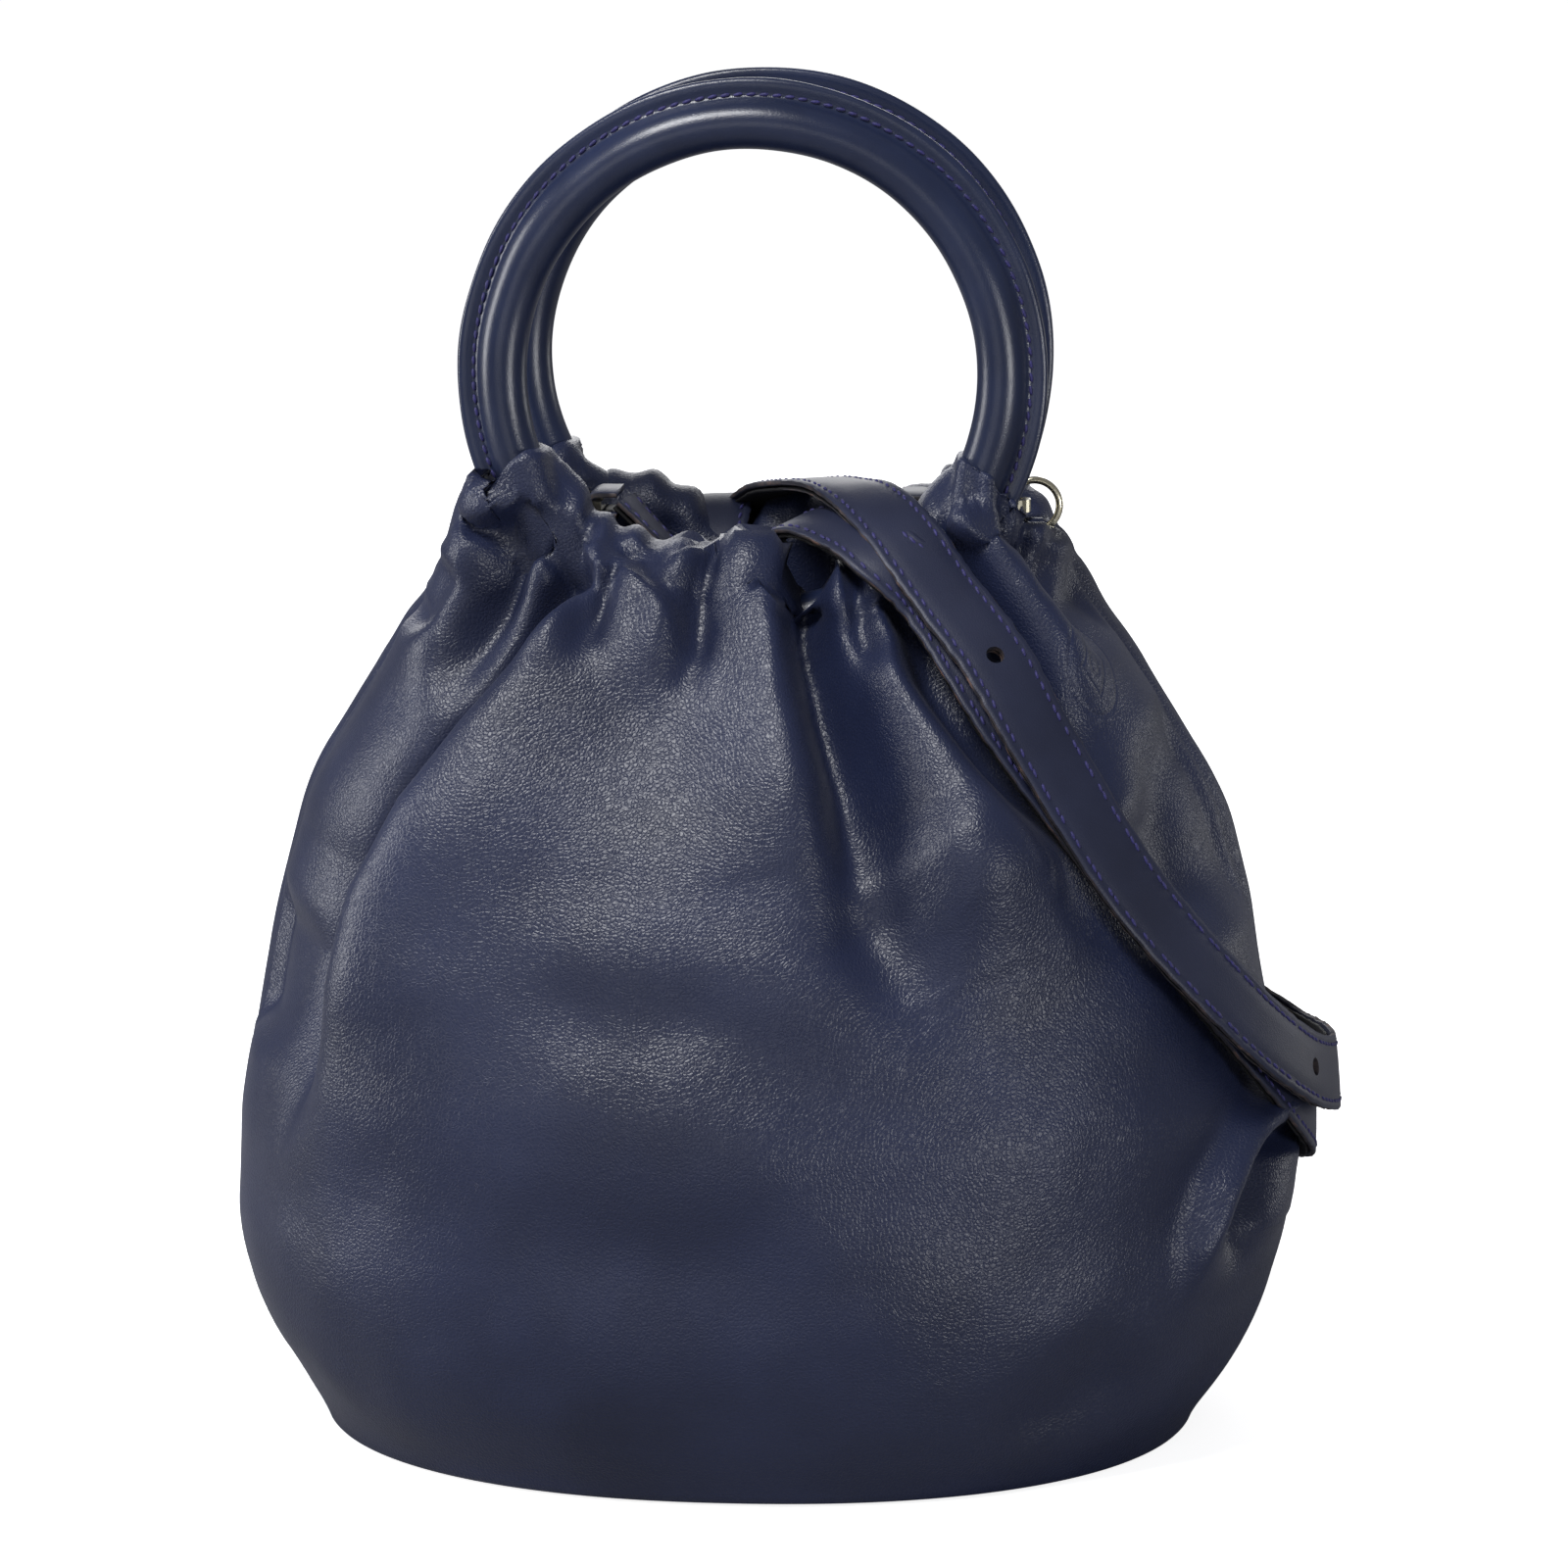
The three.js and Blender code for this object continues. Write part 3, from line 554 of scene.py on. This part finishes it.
def shellPoints(turn, rise, side, rim):
    # Base surface: up the outside, over the gathered top and down the facing inside.
    topX, _ = planPoint(turn, *shell["mouth"])
    top = np.interp(topX, rim["across"], rim["up"])
    shoulder = top - shell["drop"]
    wallShare = np.clip((rise - shell["tuck"]) / (shell["crest"] - shell["tuck"]), 0, 1)
    height = shell["foot"] + wallShare * (shoulder - shell["foot"])
    halfWidth, halfDepth = bodyAt(height, "halfWidth"), bodyAt(height, "halfDepth")
    squareness = bodyAt(height, "squareness")
    tuckShare = 1 - np.clip(rise / shell["tuck"], 0, 1)
    halfWidth = halfWidth - shell["tuckInset"] * tuckShare ** 2
    halfDepth = halfDepth - shell["tuckInset"] * tuckShare ** 2
    height = height - np.sin(tuckShare * math.pi / 2)
    overShare = np.clip((rise - shell["crest"]) / (shell["turnover"] - shell["crest"]), 0, 1)
    over = (1 - np.cos(overShare * math.pi)) / 2
    halfWidth = halfWidth + (shell["innerHalfWidth"] - halfWidth) * over
    halfDepth = halfDepth + (shell["innerHalfDepth"] - halfDepth) * over
    height = height + shell["drop"] * np.sin(overShare * math.pi)
    downShare = np.clip((rise - shell["turnover"]) / (1 - shell["turnover"]), 0, 1)
    height = height - shell["facing"] * downShare
    x, y = planPoint(turn, halfWidth, halfDepth, squareness)
    wrapped = overShare < shell["wrapped"]
    depth = np.where(wrapped, sleeveDepth(x, np.abs(y), height), np.abs(y))
    return np.stack([x, depth * side, height], axis=1), top, overShare


def sleeveDepth(x, depth, height):
    # Round the ring the leather stands out far enough to cover its tube and its flange.
    radius = np.hypot(x, sleeve["ringHeight"] - height)
    thick = np.sqrt(np.maximum(sleeve["tube"] ** 2 - (radius - sleeve["tubeCentre"]) ** 2, 0))
    flat = sleeve["flange"] * smoothStep(radius, *sleeve["flangeStart"]) * (
        1 - smoothStep(radius, *sleeve["flangeEnd"]))
    needed = sleeve["ringDepth"] + np.maximum(thick, flat)
    needed = needed * (1 - smoothStep(np.abs(x), sleeve["inner"], sleeve["outer"]))
    needed = needed * smoothStep(radius, *sleeve["hole"])
    # The larger of the two depths, rounded off where they cross
    soft = sleeve["round"]
    larger = np.log(np.exp(depth / soft) + np.exp(needed / soft)) * soft
    return np.where(np.abs(radius - sleeve["middle"]) < sleeve["reach"], larger, depth)


def wanderNoise(points, scale, seed):
    offset = Vector((seed, seed * 1.7, seed * 0.3))
    return np.array([noise.noise(Vector(p) * scale + offset) for p in points])


def liningPoints(turn, rise, side, rim):
    # Up the inside of the wall, then in to the lower edge of the facing.
    topX, _ = planPoint(turn, *shell["mouth"])
    top = np.interp(topX, rim["across"], rim["up"])
    wallShare = np.clip(rise / shell["liningTurn"], 0, 1)
    height = shell["liningFoot"] + wallShare * shell["liningHeight"]
    overShare = np.clip((rise - shell["liningTurn"]) / (1 - shell["liningTurn"]), 0, 1)
    over = (1 - np.cos(overShare * math.pi)) / 2
    room = shell["liningGap"] + shell["liningRoom"] * smoothStep(height, 60, 120)
    halfWidth, halfDepth = bodyAt(height, "halfWidth") - room, bodyAt(height, "halfDepth") - room
    halfWidth = halfWidth + (shell["innerHalfWidth"] + 1 - halfWidth) * over
    halfDepth = halfDepth + (shell["innerHalfDepth"] + 1.5 - halfDepth) * over
    lip = top - shell["drop"] - shell["facing"] + shell["liningOverlap"]
    wallTop = shell["liningFoot"] + shell["liningHeight"]
    height = height + (lip - wallTop) * over + 5 * np.sin(overShare * math.pi)
    x, y = planPoint(turn, halfWidth, halfDepth, bodyAt(np.minimum(height, 190), "squareness"))
    return np.stack([x, np.abs(y) * side, height], axis=1), top + 0 * height, overShare


def makeShell(name, side, rim, folds, seed, surface, material):
    mesh = gridMesh(name, shell["columns"], shell["rows"])
    grid = readPoints(mesh)
    turn = math.pi * (1 + grid[:, 0]) if side < 0 else math.pi * (1 - grid[:, 0])
    low = math.pi if side < 0 else 0
    turn = np.clip(turn, low + 0.0005, low + math.pi - 0.0005)
    points, top, overShare = surface(turn, grid[:, 1], side, rim)
    writePoints(mesh, points)
    normals = readNormals(mesh)
    middle = points[:, 2] < 150
    outward = np.sum(normals[middle, 1] * points[middle, 1]) > 0
    if not outward:
        mesh.flip_normals()
        normals = -normals
    across, up = points[:, 0], points[:, 2]
    gain = shell["foldGain"] * (shell["liningFold"] if surface is liningPoints else 1)
    height = gain * sum(foldHeight(across, up, fold) for fold in folds)
    below = np.maximum(top - up, 0)
    sideways = np.stack([across, up * 0.3, up * 0], 1)
    phase = across / shell["ripplePitch"] + 1.3 * wanderNoise(sideways, 0.03, seed)
    gather = shell["ripple"] * np.sin(2 * math.pi * phase) * np.exp(-(below / shell["rippleReach"]) ** 2)
    slow = shell["wander"] * wanderNoise(points, 0.022, seed + 4)
    slow = slow + 0.5 * wanderNoise(points, 0.06, seed + 9)
    # Near the side seams the front and back must meet, so folds fade there, and at the flat base
    seamFade = smoothStep(np.abs(points[:, 1]), 0.0, 9.0)
    baseFade = smoothStep(up, 1.5, 22.0)
    inside = 1 - 0.75 * smoothStep(overShare, 0.5, 1.0)
    seam = shell["seamDip"] * np.exp(-(points[:, 1] / shell["seamWidth"]) ** 2) * smoothStep(up, 4, 30)
    lift = (height + gather + slow) * seamFade * baseFade * inside - seam
    points = points + normals * lift[:, None]
    if surface is shellPoints:
        covered = sleeveDepth(points[:, 0], np.abs(points[:, 1]), points[:, 2])
        depth = np.abs(points[:, 1])
        held = np.maximum(depth, covered - 1.2)
        points[:, 1] = np.where(overShare < shell["wrapped"], held, depth) * side
    points[(grid[:, 0] < 1e-4) | (grid[:, 0] > 1 - 1e-4), 1] = 0
    writePoints(mesh, points * mm)
    mesh.shade_smooth()
    mesh.materials.append(material)
    piece = bpy.data.objects.new(name, mesh)
    bpy.context.collection.objects.link(piece)
    return piece


def handleWeight(points, side):
    # A weight for how far a point would follow the ring: fully at the casing, not at all low down, at the
    # sides or mid-mouth; nothing applies it
    reach = np.hypot(points[:, 0], sleeve["ringHeight"] - points[:, 2])
    weight = 1 - smoothStep(reach, *sleeve["follow"])
    weight = weight * (1 - smoothStep(np.abs(points[:, 0]), *sleeve["followAcross"]))
    return weight * smoothStep(points[:, 1] * side, *sleeve["followDepth"])


def followHandle(piece, side):
    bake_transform(piece)
    weight = handleWeight(readPoints(piece.data) / mm, side)


frontShell = makeShell("frontLeather", -1, frontRim, frontFolds, 3, shellPoints, leathers["bodyLeather"])
backShell = makeShell("backLeather", 1, backRim, backFolds, 11, shellPoints, leathers["bodyLeather"])
frontLining = makeShell("frontLining", -1, frontRim, frontFolds, 3, liningPoints, lining)
backLining = makeShell("backLining", 1, backRim, backFolds, 11, liningPoints, lining)
for piece, node, side in ((frontLining, "lining_front", -1), (backLining, "lining_back", 1)):
    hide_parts(node)
    followHandle(piece, side)
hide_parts("front_panel", "front_casing")
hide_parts("back_panel", "back_casing")
followHandle(frontShell, -1)
followHandle(backShell, 1)
print("leather body made")


# Ring handles
ringForm = {
    "height": sleeve["ringHeight"], "y": sleeve["ringDepth"], "tubeCentre": sleeve["tubeCentre"],
    "tubeRadius": 6.3, "stitchRadius": 69.9, "flangeEdge": 74, "flangeHalf": 1.35, "valleyHalf": 1.0,
    "turns": 256, "stitches": 136, "stitchLength": 2.5, "stitchThick": 0.5, "waver": 0.35,
}


def ringProfile():
    # Half section from the flange's edge over the stitched valley and round the padded tube.
    centre, radius = ringForm["tubeCentre"], ringForm["tubeRadius"]
    edge, half, valley = ringForm["flangeEdge"], ringForm["flangeHalf"], ringForm["valleyHalf"]
    upper = [(edge, 0.35), (edge - 0.15, 0.9), (edge - 0.6, half), (edge - 1.6, half + 0.1),
             (edge - 2.8, half), (ringForm["stitchRadius"] + 0.4, valley),
             (ringForm["stitchRadius"] - 0.5, valley + 0.1)]
    arc = [(centre + radius * math.cos(math.radians(t)), radius * math.sin(math.radians(t)))
           for t in range(14, 347, 12)]
    lower = [(r, -a) for r, a in reversed(upper)]
    return upper + arc + lower


def spinProfile(name, profile, centre, turns, material):
    # Spins a closed (radius, depth) outline round an axis along Y through the centre.
    bm = bmesh.new()
    verts = [bm.verts.new(Vector((r, a, 0))) for r, a in profile]
    for i, vert in enumerate(verts):
        bm.edges.new((vert, verts[(i + 1) % len(verts)]))
    bmesh.ops.spin(bm, geom=bm.verts[:] + bm.edges[:], cent=(0, 0, 0), axis=(0, 1, 0), angle=math.tau,
                   steps=turns, use_merge=True)
    bmesh.ops.remove_doubles(bm, verts=bm.verts, dist=0.001)
    bmesh.ops.recalc_face_normals(bm, faces=bm.faces)
    bmesh.ops.translate(bm, verts=bm.verts, vec=centre)
    bmesh.ops.scale(bm, verts=bm.verts, vec=(mm, mm, mm))
    return finishPiece(name, bm, material)


def finishPiece(name, bm, *materials):
    mesh = bpy.data.meshes.new(name)
    bm.to_mesh(mesh)
    bm.free()
    mesh.shade_smooth()
    for material in materials:
        mesh.materials.append(material)
    piece = bpy.data.objects.new(name, mesh)
    bpy.context.collection.objects.link(piece)
    return piece


def waver(piece, size, scale, seed):
    points, normals = readPoints(piece.data), readNormals(piece.data)
    shift = size * mm * wanderNoise(points / mm, scale, seed)
    writePoints(piece.data, points + normals * shift[:, None])


def makeStitches(name, places, length, radius, material):
    # Each place is (point, along, out); a stitch is a short rounded bar with its ends sunk in the leather.
    bm = bmesh.new()
    for point, along, out in places:
        along = Vector(along).normalized()
        out = (Vector(out) - along * along.dot(Vector(out))).normalized()
        across = out.cross(along)
        place = Matrix((along * length / 2, across * radius, out * radius)).transposed().to_4x4()
        place = Matrix.Translation(point) @ place @ Matrix.Rotation(math.pi / 2, 4, "Y")
        bmesh.ops.create_uvsphere(bm, u_segments=7, v_segments=5, radius=1, matrix=place)
    bmesh.ops.scale(bm, verts=bm.verts, vec=(mm, mm, mm))
    return finishPiece(name, bm, material)


def makeRing(name, side, handle):
    centre = Vector((0, side * ringForm["y"], ringForm["height"]))
    ring = spinProfile(name, ringProfile(), centre, ringForm["turns"], leathers["ringLeather"])
    waver(ring, ringForm["waver"], 0.05, 5 + side)
    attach(ring, handle)
    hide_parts(handle.replace("handle", "ring_cover"))
    places = []
    for face in (-1, 1):
        for i in range(ringForm["stitches"]):
            turn = math.tau * (i + 0.5 * (face > 0)) / ringForm["stitches"]
            spoke = Vector((math.cos(turn), 0, math.sin(turn)))
            along = Vector((-math.sin(turn), 0, math.cos(turn)))
            proud = Vector((0, face * (ringForm["valleyHalf"] + 0.1), 0))
            point = centre + spoke * ringForm["stitchRadius"] + proud
            places.append((point, along + spoke * 0.16 * face, Vector((0, face, 0))))
    stitches = makeStitches(name + "Stitches", places, ringForm["stitchLength"], ringForm["stitchThick"],
                            thread)
    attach(stitches, handle)


makeRing("frontRing", -1, "front_handle")
makeRing("backRing", 1, "back_handle")
print("ring handles made")


# Shoulder strap
strapForm = {
    "width": 19, "leather": 1.5, "backing": 0.9, "lift": 0.25, "rows": 1100, "stitchInset": 2.3,
    "stitchPitch": 3.2, "stitchLength": 2.5, "stitchThick": 0.46,
    "holes": ((62, -59, 205), (141, -37, 98)), "holeRadius": 2.3,
}


def onBody(degrees, height, lift):
    def place(turn, level):
        x, y = planPoint(turn, *(bodyAt(level, key) for key in ("halfWidth", "halfDepth", "squareness")))
        return Vector((float(x), float(y), level))

    turn = math.radians(degrees)
    at = place(turn, height)
    out = (place(turn + 0.01, height) - at).cross(place(turn, height + 0.1) - at).normalized()
    return tuple(at + out * lift), tuple(out)


strapRoute = [
    ((-35.3, 0, 236.5), (0, 0, 1)), ((-27, -1, 228), (0.5, 0, 0.9)), ((-17, -2, 219), (0.3, 0, 1)),
    ((-4, -8, 222), (-0.4, -0.1, 1)), ((12, -22, 234), (-0.2, -0.15, 1)),
    ((25, -36, 234), (0.05, -0.6, 0.8)), ((35, -46, 229), (0.2, -0.75, 0.6)),
    onBody(-66, 218, 3.6), onBody(-53, 184, 3.6), onBody(-40.5, 148, 3.8), onBody(-31, 126, 4),
    onBody(-22, 106, 6), onBody(-13, 90, 8), onBody(-3, 80, 8), onBody(10, 71, 6),
    onBody(28, 62, 4.5), onBody(46, 72, 4), onBody(60, 98, 4), onBody(70, 136, 4), onBody(77, 176, 7),
    onBody(85, 202, 8),
    ((-4, 53, 219), (0, 0.8, 0.6)), ((-4, 40, 228), (0, 0.5, 0.86)), ((2, 26, 236), (0, 0.05, 1)),
    ((10, 8, 240), (0, 0, 1)), ((19, -9, 242), (0, 0, 1)), ((28, -25, 241), (0, -0.3, 0.95)),
    ((38, -40, 234), (0.15, -0.65, 0.75)), ((49, -50, 221), (0.35, -0.75, 0.5)),
    onBody(-56.2, 201, 8), onBody(-51.7, 183, 8), onBody(-42.7, 148, 8), onBody(-28, 115, 11),
    onBody(-16, 98, 13), onBody(-4, 91, 14), onBody(5, 89, 13),
    onBody(18, 88, 11), onBody(36, 96, 9), onBody(56, 122, 9), onBody(74, 150, 9.5), onBody(84, 178, 11),
    onBody(92, 203, 11),
    ((-9, 54, 221), (0, 0.8, 0.6)), ((-12, 40, 232), (0, 0.45, 0.9)), ((-14, 27, 231), (0, -0.2, 1)),
    ((-14, 17, 223), (0, -0.9, 0.4)), ((-12, 13, 214), (0.15, -1, 0.1)), ((-6, 9, 207), (0.4, -0.8, 0.4)),
    ((3, 5, 202), (0.3, -0.4, 0.85)), ((14, 1, 202), (-0.15, -0.1, 1)), ((23, 0, 210), (-0.65, 0, 0.75)),
    ((28, 0, 222), (-0.85, 0, 0.5)), ((31, 0, 232), (-0.7, 0, 0.7)), ((35.6, 0, 236.5), (-0.2, 0, 1)),
]


def curveThrough(points, count):
    # Centripetal Catmull-Rom curve, evenly stepped from station to station.
    points = np.array(points, dtype=float)
    ends = np.vstack([2 * points[0] - points[1], points, 2 * points[-1] - points[-2]])
    result = []
    for share in np.linspace(0, len(points) - 1, count):
        i = min(int(share), len(points) - 2)
        t = share - i
        four = ends[i:i + 4]
        gaps = [max(np.sum((four[k + 1] - four[k]) ** 2) ** 0.25, 1e-4) for k in range(3)]
        leave = ((four[1] - four[0]) / gaps[0] - (four[2] - four[0]) / (gaps[0] + gaps[1])
                 + (four[2] - four[1]) / gaps[1]) * gaps[1]
        arrive = ((four[2] - four[1]) / gaps[1] - (four[3] - four[1]) / (gaps[1] + gaps[2])
                  + (four[3] - four[2]) / gaps[2]) * gaps[1]
        result.append((2 * t ** 3 - 3 * t ** 2 + 1) * four[1] + (t ** 3 - 2 * t ** 2 + t) * leave
                      + (-2 * t ** 3 + 3 * t ** 2) * four[2] + (t ** 3 - t ** 2) * arrive)
    return np.array(result)


def strapFrames():
    rows = strapForm["rows"]
    at = curveThrough([station[0] for station in strapRoute], rows)
    out = curveThrough([station[1] for station in strapRoute], rows)
    along = np.gradient(at, axis=0)
    along /= np.linalg.norm(along, axis=1)[:, None]
    out -= along * np.sum(out * along, axis=1)[:, None]
    out /= np.linalg.norm(out, axis=1)[:, None]
    across = np.cross(along, out)
    return at, along, out, across


def bandSection(low, high, half):
    # Outline of a flat band, with rounded edges and shallow grooves under the stitch rows.
    inset = strapForm["stitchInset"]
    top = [(-half + 0.1, high - 0.35), (-half + 0.5, high - 0.05), (-half + inset - 0.9, high),
           (-half + inset, high - 0.22), (-half + inset + 0.9, high + 0.02), (-half * 0.35, high + 0.12),
           (half * 0.35, high + 0.12), (half - inset - 0.9, high + 0.02), (half - inset, high - 0.22),
           (half - inset + 0.9, high), (half - 0.5, high - 0.05), (half - 0.1, high - 0.35)]
    bottom = [(half - 0.1, low + 0.2), (half - 0.5, low), (half * 0.4, low), (-half * 0.4, low),
              (-half + 0.5, low), (-half + 0.1, low + 0.2)]
    return top + bottom


def sweepBand(name, frames, section, material, edgeMaterial, seed):
    # A closed section carried along the frames: a grid rolled up across its width, with both ends capped.
    at, along, out, across = frames
    count = len(section)
    bm = bmesh.new()
    bmesh.ops.create_grid(bm, x_segments=count, y_segments=len(at) - 1, size=0.5)
    bm.verts.ensure_lookup_table()
    section = np.array(section + section[:1])
    for face in bm.faces:
        first = min(round((vert.co.x + 0.5) * count) for vert in face.verts)
        face.material_index = 1 if first in (count // 3 * 2 - 1, count - 1) else 0
    for vert in bm.verts:
        column = round((vert.co.x + 0.5) * count)
        row = round((vert.co.y + 0.5) * (len(at) - 1))
        ragged = 0.18 * noise.noise(Vector(at[row]) * 0.35 + Vector((seed, column * 0.01, 0)))
        side, lift = section[column]
        side *= 1 + ragged * 0.25
        vert.co = Vector((at[row] + across[row] * side + out[row] * lift) * mm)
    bmesh.ops.remove_doubles(bm, verts=bm.verts, dist=0.00002)
    bmesh.ops.holes_fill(bm, edges=[edge for edge in bm.edges if edge.is_boundary], sides=count + 2)
    bmesh.ops.recalc_face_normals(bm, faces=bm.faces)
    return finishPiece(name, bm, material, edgeMaterial)


def cutHoles(piece, frames, spots, radius):
    for spot in spots:
        row = int(np.argmin(np.linalg.norm(frames[0] - np.array(spot), axis=1)))
        axes = Matrix((frames[3][row], frames[1][row], frames[2][row])).transposed().to_4x4()
        bm = bmesh.new()
        bmesh.ops.create_cone(bm, cap_ends=True, segments=28, radius1=radius, radius2=radius, depth=14,
                              matrix=Matrix.Translation(frames[0][row]) @ axes)
        bmesh.ops.scale(bm, verts=bm.verts, vec=(mm, mm, mm))
        punch = finishPiece("holePunch", bm, cutEdge)
        cut = piece.modifiers.new("hole", "BOOLEAN")
        cut.object = punch
        cut.material_mode = "TRANSFER"
        bpy.context.view_layer.update()
        result = bpy.data.meshes.new_from_object(piece.evaluated_get(bpy.context.evaluated_depsgraph_get()))
        piece.modifiers.clear()
        piece.data = result
        result.set_sharp_from_angle(angle=math.radians(45))
        bpy.data.objects.remove(punch)


def makeStrap():
    frames = strapFrames()
    at = frames[0]
    rows = len(at)
    crossings = [i for i in range(2, rows - 1) if at[i][1] * at[i + 1][1] < 0 and at[i][2] > 60]
    turns = [i for k, i in enumerate(crossings) if k == 0 or i - crossings[k - 1] > 40]
    cuts = [0] + turns[:3] + [rows - 1]
    names = ("strapFrontUnder", "strapBackUnder", "strapFrontTop", "strapBackTop")
    half = strapForm["width"] / 2
    low, high = strapForm["lift"], strapForm["lift"] + strapForm["leather"]
    stitchRow = half - strapForm["stitchInset"]
    steps = np.linalg.norm(np.diff(at, axis=0), axis=1)
    travelled = np.concatenate(([0], np.cumsum(steps)))
    for k, name in enumerate(names):
        part = slice(cuts[k], cuts[k + 1] + 1)
        cutFrames = [values[part] for values in frames]
        side = -1 if k % 2 == 0 else 1
        leather = sweepBand(name, cutFrames, bandSection(low, high, half), leathers["strapLeather"],
                            cutEdge, k)
        under = bandSection(-low - strapForm["backing"], -low, half - 0.4)
        backing = sweepBand(name + "Backing", cutFrames, under, leathers["strapBacking"],
                            leathers["strapBacking"], k + 9)
        places = []
        start, end = travelled[cuts[k]] + 2, travelled[cuts[k + 1]] - 1.5
        for step in np.arange(start, end, strapForm["stitchPitch"]):
            row = int(np.searchsorted(travelled, step))
            for edge in (-1, 1):
                point = at[row] + frames[3][row] * edge * stitchRow + frames[2][row] * (high - 0.12)
                slant = frames[1][row] + frames[3][row] * 0.22
                places.append((Vector(point), Vector(slant), Vector(frames[2][row])))
        stitches = makeStitches(name + "Stitches", places, strapForm["stitchLength"],
                                strapForm["stitchThick"], thread)
        if name == "strapFrontTop":
            cutHoles(leather, cutFrames, strapForm["holes"], strapForm["holeRadius"])
            cutHoles(backing, cutFrames, strapForm["holes"], strapForm["holeRadius"])
        for piece in (leather, backing, stitches):
            followHandle(piece, side)
        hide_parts("strap")
        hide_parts("strap_backing")


makeStrap()
print("strap made")


# Side rings; their tabs are made with the folded ends below, and the hooks are only given a gold finish at
# the end
hardware = {"sideX": 70, "sideHeight": 236.5, "ringRadius": 6.4, "wire": 0.95}


def makeSideRing(name, side):
    wire = hardware["wire"]
    profile = [(hardware["ringRadius"] + wire * math.cos(turn), wire * math.sin(turn))
               for turn in np.linspace(0, math.tau, 15)[:-1]]
    centre = Vector((side * hardware["sideX"], 0, hardware["sideHeight"]))
    ring = spinProfile(name + "SideRing", profile, centre, 56, paleGold)
    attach(ring, name + "_ring")
    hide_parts(name + "_side_ring")


for sideName, sideSign in (("left", -1), ("right", 1)):
    makeSideRing(sideName, sideSign)


# Folded ends and the base
tabForm = {"bend": 2.6, "leg": 18, "thick": 1.2, "wide": 5}
endForm = {"bend": 2.65, "leg": 5, "thick": 1.5, "wide": 19, "x": 41}
base = {"width": 109, "depth": 96, "squareness": 2.2, "thick": 2.6, "rim": 0.7, "liningInset": 2.2,
        "liningFloor": 4.75, "liningThick": 0.6, "corners": 160}


def makeFold(name, centre, legWay, normal, form, material, node):
    # A strip of leather folded over a bar, with both legs lying the same way.
    centre, legWay, normal = (np.array(values, dtype=float) for values in (centre, legWay, normal))
    bend, reaches = form["bend"], np.linspace(1, form["leg"], 9)
    places = [(centre + normal * bend + legWay * reach, normal, -legWay) for reach in reaches[::-1]]
    for turn in np.linspace(0, math.pi, 17):
        out = normal * math.cos(turn) - legWay * math.sin(turn)
        along = -normal * math.sin(turn) - legWay * math.cos(turn)
        places.append((centre + out * bend, out, along))
    places += [(centre - normal * bend + legWay * reach, -normal, legWay) for reach in reaches]
    at, out, along = (np.array(values) for values in zip(*places))
    thick, half = form["thick"] / 2, form["wide"] / 2
    section = [(-half + 0.1, thick - 0.25), (-half + 0.5, thick), (half - 0.5, thick),
               (half - 0.1, thick - 0.25), (half - 0.1, 0.25 - thick), (half - 0.5, -thick),
               (-half + 0.5, -thick), (-half + 0.1, 0.25 - thick)]
    fold = sweepBand(name, (at, along, out, np.cross(along, out)), section, material, cutEdge, 3)
    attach(fold, "bag")
    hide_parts(node)


def makePlate(name, inset, floor, thickness, material, node):
    # A plate with the outline of the base and a rounded rim.
    bm = bmesh.new()
    bmesh.ops.create_circle(bm, cap_ends=True, segments=base["corners"], radius=1)
    for vert in bm.verts:
        turn = math.atan2(vert.co.y, vert.co.x)
        x, y = planPoint(turn, base["width"] - inset, base["depth"] - inset, base["squareness"])
        vert.co = (float(x), float(y), floor)
    raised = bmesh.ops.extrude_face_region(bm, geom=bm.faces[:])["geom"]
    lifted = [item for item in raised if isinstance(item, bmesh.types.BMVert)]
    bmesh.ops.translate(bm, verts=lifted, vec=(0, 0, thickness))
    rim = [edge for edge in bm.edges if abs(edge.verts[0].co.z - edge.verts[1].co.z) < 0.001]
    bmesh.ops.bevel(bm, geom=rim, offset=min(base["rim"], thickness * 0.4), segments=3, affect="EDGES",
                    profile=0.5, material=-1)
    bmesh.ops.recalc_face_normals(bm, faces=bm.faces)
    bmesh.ops.scale(bm, verts=bm.verts, vec=(mm, mm, mm))
    plate = finishPiece(name, bm, material)
    plate.data.set_sharp_from_angle(angle=math.radians(40))
    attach(plate, "bag")
    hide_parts(node)


for sideName, sideSign in (("left", -1), ("right", 1)):
    barHeight = hardware["sideHeight"] - hardware["ringRadius"]
    makeFold(sideName + "RingTab", (sideSign * hardware["sideX"], 0, barHeight), (0, 0, -1), (0, 1, 0),
             tabForm, leathers["ringLeather"], sideName + "_ring_tab")
    makeFold(sideName + "StrapFold", (sideSign * endForm["x"], 0, hardware["sideHeight"]), (-sideSign, 0, 0),
             (0, 0, 1), endForm, leathers["strapLeather"], sideName + "_strap_fold")
makePlate("baseLeather", 0, 0, base["thick"], leathers["baseLeather"], "base_panel")
makePlate("baseLining", base["liningInset"], base["liningFloor"], base["liningThick"], lining,
          "lining_base")

cadMaterials = {"base_board": fibreBoard, "front_ring_core": fibreBoard, "back_ring_core": fibreBoard}
for sideName in ("left", "right"):
    for part in ("hook", "hook_gate", "strap_loop"):
        cadMaterials[f"{sideName}_{part}"] = paleGold
for node, material in cadMaterials.items():
    part = bpy.data.objects.get(node)
    for slotEntry in part.material_slots:
        slotEntry.material = material
print("hardware and hidden parts finished")
